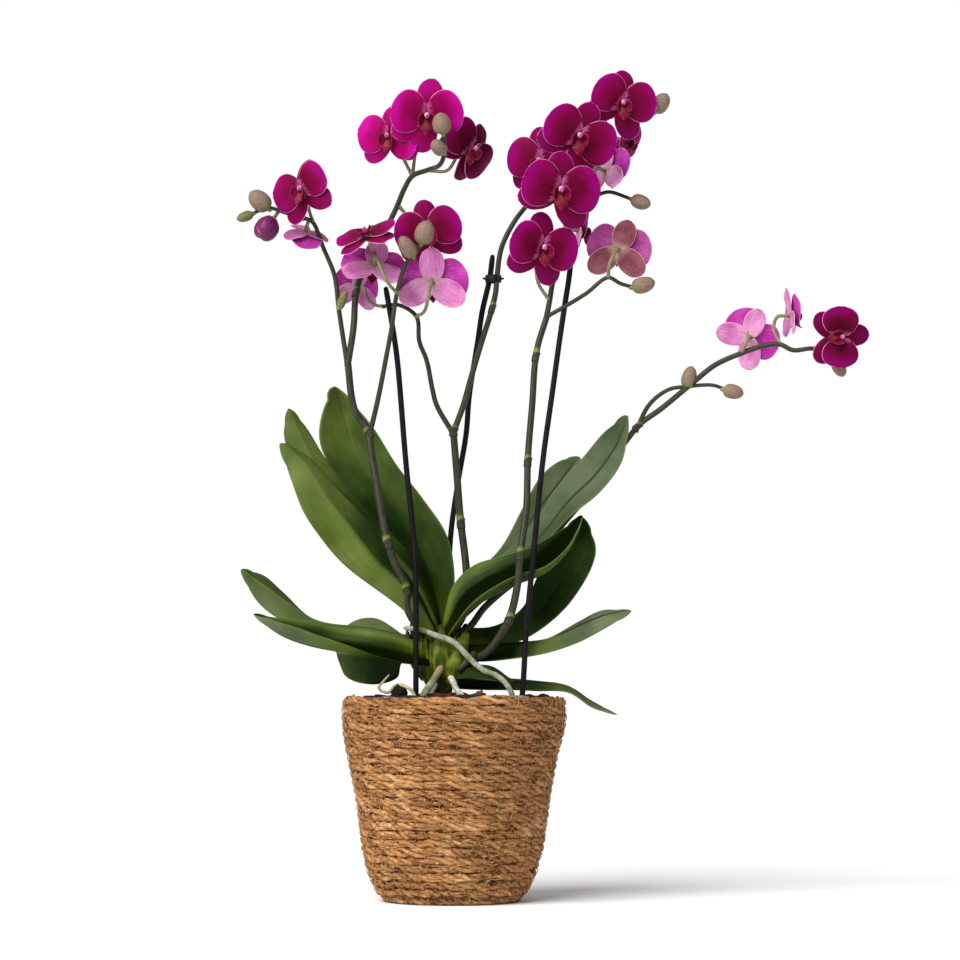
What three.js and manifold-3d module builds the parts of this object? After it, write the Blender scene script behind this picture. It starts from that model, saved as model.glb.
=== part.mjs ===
// A moth orchid with many magenta blooms, in a nursery pot that stands in a woven seagrass basket.
//
// Millimetres, +Z up, +X to the right as seen from the front, +Y away from the front.
// The origin is the centre of the basket's underside.

import {
  BoxGeometry,
  BufferGeometry,
  CatmullRomCurve3,
  CylinderGeometry,
  Euler,
  ExtrudeGeometry,
  Float32BufferAttribute,
  Group,
  LatheGeometry,
  Matrix4,
  Mesh,
  MeshStandardMaterial,
  Shape,
  SphereGeometry,
  Vector2,
  Vector3,
} from "three";
import { mergeVertices } from "three/addons/utils/BufferGeometryUtils.js";
import Module from "manifold-3d";

const wasm = await Module();
wasm.setup();

// Driving sizes

const GAP = 0.35; // air between two pieces that touch on the real plant
const SOFT_MERGE = 1e-4; // points closer than this are one point

const BASKET_HEIGHT = 137;
const BASKET_WALL = 5.5;
const BASKET_FLOOR = 5;
const BASKET_FOOT_RADIUS = 40; // the flat ring and floor that the basket stands on
const ROPE_ROWS = 21;
const ROPE_GROOVE = 1.7; // how deep the gap between two rope rows is
const ROUND_SIDES = 18;
const INSIDE_HEIGHTS = [16, 50, 100]; // where the basket's smooth inside changes its slope
const FLOOR_EDGE_HEIGHT = 9; // the floor is as wide as the inside is at this height
const RIM_ROUNDING = { outside: 1.5, inside: 0.8, drop: 0.6 };
// Outer radius of the basket at some heights: a rounded foot, and a soft bulge below the rim
const BASKET_SIDE = [
  [0, 41], [3, 47], [9, 52], [20, 57], [35, 61], [50, 63.5], [70, 66.5], [85, 69.5],
  [100, 72.5], [112, 74.5], [125, 75.5], [133, 75], [137, 73.5],
];

const LINER_WALL = 0.8;
const LINER_TOP = 137.2;
const LINER_FOOT_INSET = 2; // how far the liner's floor stays inside the basket's

const POT_TOP = 138;
const POT_BOTTOM = BASKET_FLOOR + 2 * GAP + LINER_WALL;
const POT_FOOT_RADIUS = 43;
const POT_TOP_RADIUS = 57.5;
const POT_RIM_RADIUS = 60.5;
const POT_RIM_HEIGHT = 6;
const POT_WALL = 1.4;
const DRAIN_HOLES = 5;
const DRAIN_HOLE_RADIUS = 4;
const DRAIN_RING_RADIUS = 26;
const DRAIN_DRILL = 8; // long enough to pass through the pot's floor

const BARK_TOP = 130;
const BARK_CROWNING = { edge: -2, shoulder: 0, middle: 1, shoulderShare: 0.6 };
const BARK_CHIPS = 10;
const CHIP_SIZES = [[8, 16], [5, 10], [4, 7]]; // least and most length, width and height
const CHIP_TILT = 0.4; // the most, in radians
const CHIP_RINGS = [6, 44]; // the radii that the chips lie between
const GOLDEN_TURN = 2.4; // radians from one chip to the next

const STAKE_RADIUS = 1.9;
const ROD_SIDES = 5;
const STALK_SIDES = 4;
const CROWN_SIDES = 9;
const EGG_SIDES = 6;
const EGG_BANDS = 4;

const LEAF_THICKNESS = 1.6;
const LEAF_STATIONS = [0, 0.15, 0.32, 0.5, 0.68, 0.83, 0.94]; // rows along a leaf, closer at its tip
const FULL_FOLD_WIDTH = 24; // a leaf narrower than this is folded less
const TEPAL_THICKNESS = 0.8;
const LIP_THICKNESS = 0.9;
const BLOOM_SPAN = 54; // across both petals of a full-sized bloom
const NECK_LENGTH = 4.5; // the ovary's end behind a bloom, which its stalk meets
const STALK_RADIUS = 1.15;
const STALK_RUN_IN = 5; // the stalk's last straight length behind the neck

// The front viewpoint that the places below line up from
const SIGHT_X = 18;
const SIGHT_Z = 140;
const SIGHT_DISTANCE = 2000;

// A place [x, y, z] gives x and z as they line up, from the front viewpoint, on the plane through
// the basket's axis, and y as the true depth behind that plane
function seen([x, y, z]) {
  const nearness = 1 + y / SIGHT_DISTANCE;
  return new Vector3(SIGHT_X + (x - SIGHT_X) * nearness, y, SIGHT_Z + (z - SIGHT_Z) * nearness);
}

// Materials

function finish(color, roughness) {
  return new MeshStandardMaterial({ color, roughness, metalness: 0 });
}

const MATERIALS = {
  basket: finish(0xc28e5c, 0.85),
  liner: finish(0xcfd0cc, 0.3),
  pot: finish(0x17171a, 0.45),
  bark: finish(0x5a3526, 0.95),
  crown: finish(0x8a9a3c, 0.5),
  leaf_left: finish(0x5f732d, 0.45),
  leaf_right: finish(0x5f6e50, 0.45),
  spike: finish(0x46483a, 0.6),
  stake: finish(0x1a1a20, 0.5),
  clip: finish(0x24242a, 0.45),
  root_silver: finish(0x9aa08a, 0.7),
  root_pale: finish(0xd9d2bc, 0.7),
  root_dry: finish(0xb79a6c, 0.85),
  bloom: finish(0xa0106e, 0.55),
  bloom_back: finish(0xd782c4, 0.55),
};

// Solids

function signedVolume(position, index) {
  const a = new Vector3();
  const b = new Vector3();
  const c = new Vector3();
  let sum = 0;
  for (let i = 0; i < index.length; i += 3) {
    a.fromBufferAttribute(position, index[i]);
    b.fromBufferAttribute(position, index[i + 1]);
    c.fromBufferAttribute(position, index[i + 2]);
    sum += a.dot(b.cross(c));
  }
  return sum / 6;
}

// A closed three.js geometry as a solid that can be joined and cut, with its faces pointing out
function solid(geometry) {
  geometry.deleteAttribute("normal");
  geometry.deleteAttribute("uv");
  const merged = mergeVertices(geometry, SOFT_MERGE);
  const index = merged.index.array;
  const kept = [];
  for (let i = 0; i < index.length; i += 3) {
    const [a, b, c] = [index[i], index[i + 1], index[i + 2]];
    if (a !== b && b !== c && c !== a) {
      kept.push(a, b, c);
    }
  }
  if (signedVolume(merged.attributes.position, kept) < 0) {
    kept.reverse();
  }
  return new wasm.Manifold(new wasm.Mesh({
    numProp: 3,
    vertProperties: new Float32Array(merged.attributes.position.array),
    triVerts: new Uint32Array(kept),
  }));
}

function joined(solids) {
  return solids.reduce((whole, next) => whole.add(next));
}

// The biggest body of a solid: a crumb that a cut leaves loose is dropped
function mainBody(whole) {
  const bodies = whole.decompose();
  return bodies.reduce((best, body) => (body.volume() > best.volume() ? body : best));
}

function geometryOf(whole) {
  const mesh = whole.getMesh();
  const geometry = new BufferGeometry();
  geometry.setAttribute("position", new Float32BufferAttribute(mesh.vertProperties, 3));
  geometry.setIndex(Array.from(mesh.triVerts));
  return geometry;
}

// Shapes that grow: every one takes grow, which makes it that much fatter all round

// Value at t (0 to 1) of a list of evenly spaced stops
function along(stops, t) {
  const place = Math.min(Math.max(t, 0), 1) * (stops.length - 1);
  const low = Math.min(Math.floor(place), stops.length - 2);
  return stops[low] + (stops[low + 1] - stops[low]) * (place - low);
}

// Value at height of a list of [height, value] pairs
function atHeight(pairs, height) {
  for (let i = 1; i < pairs.length; i += 1) {
    const [low, from] = pairs[i - 1];
    const [high, to] = pairs[i];
    if (height <= high) {
      return from + ((to - from) * (height - low)) / (high - low);
    }
  }
  return pairs[pairs.length - 1][1];
}

function roundSection(sides) {
  const shape = new Shape();
  for (let i = 0; i < sides; i += 1) {
    const angle = (2 * Math.PI * i) / sides;
    if (i === 0) {
      shape.moveTo(Math.cos(angle), Math.sin(angle));
    } else {
      shape.lineTo(Math.cos(angle), Math.sin(angle));
    }
  }
  return shape;
}

// Tangents and side directions at each point of a route, turning as little as they can
function framesOn(points) {
  const curve = new CatmullRomCurve3(points, false, "centripetal");
  const frames = [];
  let side = null;
  points.forEach((point, i) => {
    const ahead = curve.getTangent(i / (points.length - 1));
    if (side === null) {
      [side] = frameAlong(ahead);
    }
    side = side.clone().addScaledVector(ahead, -side.dot(ahead)).normalize();
    frames.push({ point, ahead, side, other: ahead.clone().cross(side) });
  });
  return frames;
}

// A round stem with a ring at each point, tapered by radii: a section drawn out and laid on the route
function stem(points, radii, grow = 0, sides = ROD_SIDES) {
  const frames = framesOn(points);
  const steps = points.length - 1;
  const geometry = new ExtrudeGeometry(roundSection(sides), { depth: 1, steps, bevelEnabled: false });
  const position = geometry.attributes.position;
  for (let i = 0; i < position.count; i += 1) {
    const station = Math.round(position.getZ(i) * steps);
    const { point, ahead, side, other } = frames[station];
    const radius = along(radii, station / steps) + grow;
    const place = point.clone();
    place.addScaledVector(side, position.getX(i) * radius);
    place.addScaledVector(other, position.getY(i) * radius);
    place.addScaledVector(ahead, station === 0 ? -grow : 0);
    place.addScaledVector(ahead, station === steps ? grow : 0);
    position.setXYZ(i, place.x, place.y, place.z);
  }
  return solid(geometry);
}

// An egg shape between two ends, as wide as radius allows
function egg(base, tip, radius, grow = 0) {
  const axis = tip.clone().sub(base);
  const half = axis.length() / 2;
  const geometry = new SphereGeometry(1, EGG_SIDES, EGG_BANDS);
  geometry.scale(radius + grow, half + grow, radius + grow);
  const turn = new Matrix4();
  turn.makeBasis(...frameAlong(axis));
  geometry.applyMatrix4(turn);
  const middle = base.clone().add(tip).multiplyScalar(0.5);
  geometry.translate(middle.x, middle.y, middle.z);
  return solid(geometry);
}

// Three axes at right angles, the second along a direction
function frameAlong(direction) {
  const up = direction.clone().normalize();
  const helper = Math.abs(up.z) < 0.9 ? new Vector3(0, 0, 1) : new Vector3(1, 0, 0);
  const side = helper.cross(up).normalize();
  return [side, up, side.clone().cross(up)];
}

// Triangles of a sheet made of rows of points, where a row of one point is a tip
function sheetTriangles(rows) {
  const triangles = [];
  let low = 0;
  for (let i = 0; i + 1 < rows.length; i += 1) {
    const high = low + rows[i].length;
    const steps = Math.max(rows[i].length, rows[i + 1].length) - 1;
    for (let j = 0; j < steps; j += 1) {
      const [a, b] = stretch(j, steps, rows[i].length).map((number) => low + number);
      const [d, c] = stretch(j, steps, rows[i + 1].length).map((number) => high + number);
      if (d !== c) {
        triangles.push([a, d, c]);
      }
      if (a !== b) {
        triangles.push([a, c, b]);
      }
    }
    low = high;
  }
  return triangles;
}

// The two points of a row that bound its step j of so many
function stretch(j, steps, length) {
  const place = (share) => Math.round(((length - 1) * share) / steps);
  return [place(j), place(j + 1)];
}

function sheetNormals(points, triangles) {
  const normals = points.map(() => new Vector3());
  for (const [a, b, c] of triangles) {
    const side = points[b].clone().sub(points[a]);
    const normal = side.cross(points[c].clone().sub(points[a]));
    for (const corner of [a, b, c]) {
      normals[corner].add(normal);
    }
  }
  return normals.map((normal) => normal.normalize());
}

// A blade: a curved sheet given a thickness, with the same triangles on both faces
function blade(rows, thickness, grow = 0) {
  const swollen = grow > 0 ? swellRows(rows, grow) : rows;
  const points = swollen.flat();
  const triangles = sheetTriangles(swollen);
  const normals = sheetNormals(points, triangles);
  const half = thickness / 2 + grow;
  const count = points.length;
  const coordinates = [];
  for (const side of [1, -1]) {
    points.forEach((point, i) => {
      const place = point.clone().addScaledVector(normals[i], side * half);
      coordinates.push(place.x, place.y, place.z);
    });
  }
  const index = [];
  const edges = new Map();
  for (const [a, b, c] of triangles) {
    index.push(a, b, c, a + count, c + count, b + count);
    for (const [from, to] of [[a, b], [b, c], [c, a]]) {
      edges.set(`${from}_${to}`, [from, to]);
    }
  }
  for (const [from, to] of edges.values()) {
    if (!edges.has(`${to}_${from}`)) {
      index.push(to, from, from + count, to, from + count, to + count);
    }
  }
  const geometry = new BufferGeometry();
  geometry.setAttribute("position", new Float32BufferAttribute(coordinates, 3));
  geometry.setIndex(index);
  return solid(geometry);
}

// The rows of a blade with its outline moved outward
function swellRows(rows, grow) {
  const swollen = rows.map((row) => row.map((point) => point.clone()));
  for (const row of swollen) {
    if (row.length > 1) {
      const across = row[row.length - 1].clone().sub(row[0]).normalize();
      row[0].addScaledVector(across, -grow);
      row[row.length - 1].addScaledVector(across, grow);
    }
  }
  const middle = (row) => row[Math.floor(row.length / 2)];
  const start = middle(rows[0]).clone().sub(middle(rows[1])).normalize();
  swollen[0].forEach((point) => point.addScaledVector(start, grow));
  const last = rows.length - 1;
  const end = middle(rows[last]).clone().sub(middle(rows[last - 1])).normalize();
  swollen[last].forEach((point) => point.addScaledVector(end, grow));
  return swollen;
}

// Basket, liner, pot and bark

function basketRadius(height) {
  return atHeight(BASKET_SIDE, height);
}

function insideRadius(height) {
  return basketRadius(height) - BASKET_WALL;
}

function turned(profile) {
  const points = profile.map(([radius, height]) => new Vector2(radius, height));
  const geometry = new LatheGeometry(points, ROUND_SIDES);
  geometry.rotateX(Math.PI / 2);
  return solid(geometry);
}

// Rope rows wound one above the other, as ridges with a groove between each two
function makeBasket() {
  const pitch = BASKET_HEIGHT / ROPE_ROWS;
  const profile = [[0, 0], [BASKET_FOOT_RADIUS, 0]];
  for (let row = 0; row < ROPE_ROWS; row += 1) {
    const middle = (row + 0.5) * pitch;
    profile.push([basketRadius(middle), middle]);
    if (row < ROPE_ROWS - 1) {
      const groove = (row + 1) * pitch;
      profile.push([basketRadius(groove) - ROPE_GROOVE, groove]);
    }
  }
  profile.push([basketRadius(BASKET_HEIGHT) - RIM_ROUNDING.outside, BASKET_HEIGHT]);
  profile.push([insideRadius(BASKET_HEIGHT) + RIM_ROUNDING.inside, BASKET_HEIGHT - RIM_ROUNDING.drop]);
  for (const height of INSIDE_HEIGHTS.toReversed()) {
    profile.push([insideRadius(height), height]);
  }
  profile.push([insideRadius(FLOOR_EDGE_HEIGHT), BASKET_FLOOR], [0, BASKET_FLOOR]);
  return turned(profile);
}

function makeLiner() {
  const heights = [...INSIDE_HEIGHTS, LINER_TOP];
  const outer = heights.map((height) => [insideRadius(height) - GAP, height]);
  const inner = outer.map(([radius, height]) => [radius - LINER_WALL, height]);
  const foot = insideRadius(FLOOR_EDGE_HEIGHT) - LINER_FOOT_INSET;
  const under = BASKET_FLOOR + GAP;
  return turned([
    [0, under], [foot, under], ...outer,
    ...inner.reverse(), [foot - LINER_WALL, under + LINER_WALL], [0, under + LINER_WALL],
  ]);
}

function potRadius(height) {
  const share = (height - POT_BOTTOM) / (POT_TOP - POT_RIM_HEIGHT - POT_BOTTOM);
  return POT_FOOT_RADIUS + (POT_TOP_RADIUS - POT_FOOT_RADIUS) * Math.min(share, 1);
}

function makePot() {
  const shoulder = POT_TOP - POT_RIM_HEIGHT;
  const floor = POT_BOTTOM + POT_WALL;
  let pot = turned([
    [0, POT_BOTTOM], [POT_FOOT_RADIUS, POT_BOTTOM], [POT_TOP_RADIUS, shoulder],
    [POT_RIM_RADIUS, shoulder], [POT_RIM_RADIUS, POT_TOP],
    [POT_RIM_RADIUS - POT_WALL, POT_TOP], [POT_TOP_RADIUS - POT_WALL, shoulder + 1],
    [POT_FOOT_RADIUS - POT_WALL, floor], [0, floor],
  ]);
  for (let i = 0; i < DRAIN_HOLES; i += 1) {
    const angle = (2 * Math.PI * i) / DRAIN_HOLES;
    const drill = new CylinderGeometry(DRAIN_HOLE_RADIUS, DRAIN_HOLE_RADIUS, DRAIN_DRILL, ROD_SIDES);
    drill.rotateX(Math.PI / 2);
    drill.translate(DRAIN_RING_RADIUS * Math.cos(angle), DRAIN_RING_RADIUS * Math.sin(angle), floor);
    pot = pot.subtract(solid(drill));
  }
  return pot;
}

// Numbers from 0 to 1 that are the same in every build
function seededRandom(seed) {
  let state = seed;
  return () => {
    state = (state * 1664525 + 1013904223) % 4294967296;
    return state / 4294967296;
  };
}

// The bark fills the pot, and loose chips stand out of its top
function makeBark() {
  const random = seededRandom(11);
  const between = (low, high) => low + (high - low) * random();
  const foot = POT_BOTTOM + POT_WALL + GAP;
  const side = (height) => potRadius(height) - POT_WALL - GAP;
  const edge = side(BARK_TOP);
  const { shoulderShare } = BARK_CROWNING;
  const bodies = [turned([
    [0, foot], [side(foot), foot], [edge, BARK_TOP + BARK_CROWNING.edge],
    [edge * shoulderShare, BARK_TOP + BARK_CROWNING.shoulder], [0, BARK_TOP + BARK_CROWNING.middle],
  ])];
  for (let i = 0; i < BARK_CHIPS; i += 1) {
    const share = Math.sqrt((i + 0.5) / BARK_CHIPS);
    const radius = CHIP_RINGS[0] + (CHIP_RINGS[1] - CHIP_RINGS[0]) * share;
    const angle = i * GOLDEN_TURN + random();
    const chip = new BoxGeometry(...CHIP_SIZES.map(([least, most]) => between(least, most)));
    const tilt = new Euler(between(-CHIP_TILT, CHIP_TILT), between(-CHIP_TILT, CHIP_TILT), angle);
    chip.applyMatrix4(new Matrix4().makeRotationFromEuler(tilt));
    chip.translate(radius * Math.cos(angle), radius * Math.sin(angle), BARK_TOP);
    bodies.push(solid(chip));
  }
  return joined(bodies);
}

// Stakes, crown and roots

const STAKES = {
  stake_left: [
    [-25, -20, 40], [-25, -20, 137], [-25, -20, 186], [-26, -20, 236], [-32, -20, 296],
    [-38, -22, 366], [-41, -22, 387], [-46, -22, 416],
  ],
  stake_middle: [
    [-4, 27, 40], [-3, 26, 137], [-2, 25, 240], [3, 22, 280], [9, 18, 316], [11, 16, 341],
    [17, 12, 380], [20, 10, 400], [25, 8, 422], [27, 8, 438],
  ],
  stake_right: [
    [36, -20, 40], [47, -26, 138], [50, -27, 186], [55, -27, 236], [61, -26, 296],
    [68, -22, 346], [72, -18, 375], [76, -14, 402], [80, -11, 429], [81, -10, 452],
  ],
};

const CROWN = {
  route: [[-6, 0, 118], [-7, 0, 140], [-8, 0, 151], [-8, 0, 162], [-8, 0, 173], [-7, 1, 184]],
  radii: [5, 7, 11.5, 13.5, 11.5, 5],
};

const ROOTS = {
  root_across: {
    material: "root_silver",
    radii: [1.6, 2.1, 2, 1.9, 1.8],
    route: [
      [-33, -13, 184], [-21, -15, 182], [-11, -16, 178], [-1, -17, 173], [6, -18, 169],
      [14, -20, 161], [22, -23, 155], [30, -26, 151], [37, -28, 145], [41, -29, 136], [42, -29, 126],
    ],
  },
  root_tan: {
    material: "root_dry",
    radii: [2.6, 2.5, 2.2],
    route: [[-7, -5, 160], [-9, -12, 155], [-14, -19, 147], [-20, -23, 138], [-23, -24, 126]],
  },
  root_white: {
    material: "root_pale",
    radii: [2.4, 2.2, 1.8],
    route: [[-5, -4, 156], [-1, -11, 150], [2, -17, 143], [7, -20, 136], [9, -21, 125]],
  },
  root_thin: {
    material: "root_silver",
    radii: [1.6, 1.4],
    route: [[-9, -3, 150], [-12, -9, 144], [-15, -12, 137], [-16, -13, 124]],
  },
  root_curled: {
    material: "root_dry",
    radii: [0.7, 1.1, 1.1, 1.1],
    route: [
      [-43, -24, 152], [-50, -23, 143], [-44, -24, 140], [-38, -27, 145], [-30, -30, 143],
      [-25, -31, 136], [-24, -31, 125],
    ],
  },
};

// Leaves

// Each leaf is a strap between two edges that meet at its tip, folded along the middle: a positive
// fold brings the midrib towards the front
const LEAVES = {
  leaf_left_1: {
    fold: 6,
    left: [[-15, -9, 174], [-32, -16, 194], [-73, -28, 226], [-90, -32, 245], [-101, -34, 261],
      [-110, -34, 285], [-118, -32, 309]],
    right: [[-12, -4, 184], [-26, -5, 212], [-39, -5, 230], [-58, -8, 256], [-77, -12, 276],
      [-98, -20, 300], [-118, -32, 309]],
  },
  leaf_left_2: {
    fold: 5,
    left: [[-14, 1, 182], [-32, 3, 210], [-60, 2, 236], [-90, 2, 270], [-108, 2, 295],
      [-115, 2, 316], [-112, 2, 333]],
    right: [[-9, 6, 188], [-28, 11, 232], [-51, 13, 257], [-77, 12, 284], [-89, 11, 302],
      [-100, 9, 320], [-112, 2, 333]],
  },
  leaf_left_3: {
    fold: -6,
    left: [[-12, 8, 180], [-36, 18, 238], [-65, 22, 270], [-86, 22, 298], [-91, 22, 314],
      [-88, 22, 333], [-80, 22, 348]],
    right: [[-3, 5, 182], [1, 13, 218], [-4, 19, 246], [-21, 22, 272], [-38, 25, 294],
      [-56, 26, 322], [-80, 22, 348]],
  },
  leaf_left_4: {
    fold: 4,
    left: [[-16, 2, 168], [-60, 3, 174], [-95, 2, 181], [-119, 2, 191], [-134, 4, 203],
      [-144, 8, 223]],
    right: [[-16, 12, 176], [-60, 26, 184], [-94, 29, 188], [-114, 24, 207], [-129, 16, 219],
      [-144, 8, 223]],
  },
  leaf_left_5: {
    fold: 5,
    left: [[-16, -13, 158], [-47, -32, 162], [-72, -42, 167], [-97, -46, 172], [-116, -40, 179],
      [-135, -26, 193]],
    right: [[-18, -3, 173], [-51, -7, 182], [-73, -8, 184], [-94, -11, 188], [-117, -16, 190],
      [-135, -26, 193]],
  },
  leaf_left_6: {
    fold: 4,
    left: [[-15, 6, 150], [-35, 22, 146], [-52, 34, 145], [-67, 44, 149], [-76, 51, 157],
      [-77, 56, 170]],
    right: [[-16, 13, 162], [-38, 30, 182], [-52, 39, 190], [-65, 47, 189], [-74, 52, 182],
      [-77, 56, 170]],
  },
  leaf_right_1: {
    fold: 4,
    left: [[-5, 4, 188], [22, 10, 220], [59, 14, 247], [76, 15, 282], [90, 14, 300],
      [104, 10, 318], [119, 4, 328]],
    right: [[-1, 1, 182], [32, 1, 212], [59, 1, 238], [78, 0, 258], [100, 0, 276],
      [115, 1, 298], [119, 4, 328]],
  },
  leaf_right_2: {
    fold: 4,
    left: [[-4, 9, 186], [14, 19, 218], [33, 28, 239], [48, 31, 266], [60, 33, 287],
      [72, 34, 297], [86, 32, 300]],
    right: [[0, 11, 180], [28, 20, 217], [48, 24, 240], [64, 26, 258], [78, 27, 273],
      [86, 29, 288], [86, 32, 300]],
  },
  leaf_right_3: {
    fold: 4,
    left: [[-7, -3, 186], [0, -3, 212], [14, -3, 226], [32, -4, 232], [54, -6, 239],
      [75, -8, 251], [88, -12, 260]],
    right: [[-4, -9, 178], [12, -14, 196], [28, -18, 206], [44, -19, 214], [62, -19, 221],
      [79, -17, 238], [88, -12, 260]],
  },
  leaf_right_4: {
    fold: -5,
    left: [[2, 9, 184], [24, 18, 202], [46, 22, 222], [62, 22, 240], [78, 22, 254],
      [88, 22, 259]],
    right: [[4, 9, 172], [36, 14, 172], [57, 15, 181], [81, 16, 203], [97, 17, 236],
      [88, 22, 259]],
  },
  leaf_right_5: {
    fold: 3,
    left: [[2, 4, 170], [39, 5, 170], [64, 8, 174], [86, 12, 188], [102, 12, 195],
      [121, 4, 195]],
    right: [[3, -8, 161], [33, -14, 162], [56, -17, 165], [84, -15, 174], [103, -8, 183],
      [121, 4, 195]],
  },
  leaf_right_6: {
    fold: 2,
    left: [[0, 14, 150], [30, 22, 149], [54, 26, 148], [76, 24, 144], [94, 18, 134],
      [111, 10, 125]],
    right: [[0, 5, 143], [30, 3, 141.5], [54, 3, 141.5], [77, 5, 140.5], [94, 7, 130],
      [111, 10, 125]],
  },
  leaf_right_7: {
    fold: 2,
    left: [[-2, -6, 157], [12, -11, 159], [27, -14, 157], [42, -21, 147]],
    right: [[-3, -10, 148], [11, -21, 150], [25, -26, 148], [42, -21, 147]],
  },
};

// Rows of points across a leaf, from its base to its tip
function leafRows(leaf) {
  const left = new CatmullRomCurve3(leaf.left.map(seen), false, "centripetal");
  const right = new CatmullRomCurve3(leaf.right.map(seen), false, "centripetal");
  const rows = [];
  for (const t of LEAF_STATIONS) {
    const from = left.getPoint(t);
    const to = right.getPoint(t);
    const across = to.clone().sub(from);
    const ahead = left.getTangent(t).add(right.getTangent(t));
    const facing = across.clone().cross(ahead).normalize();
    const deep = leaf.fold * Math.min(1, across.length() / FULL_FOLD_WIDTH);
    const toFront = facing.y > 0 ? -deep : deep;
    const middle = from.clone().add(to).multiplyScalar(0.5).addScaledVector(facing, toFront);
    rows.push([from, middle, to]);
  }
  rows.push([left.getPoint(1)]);
  return rows;
}

// Blooms

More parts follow.
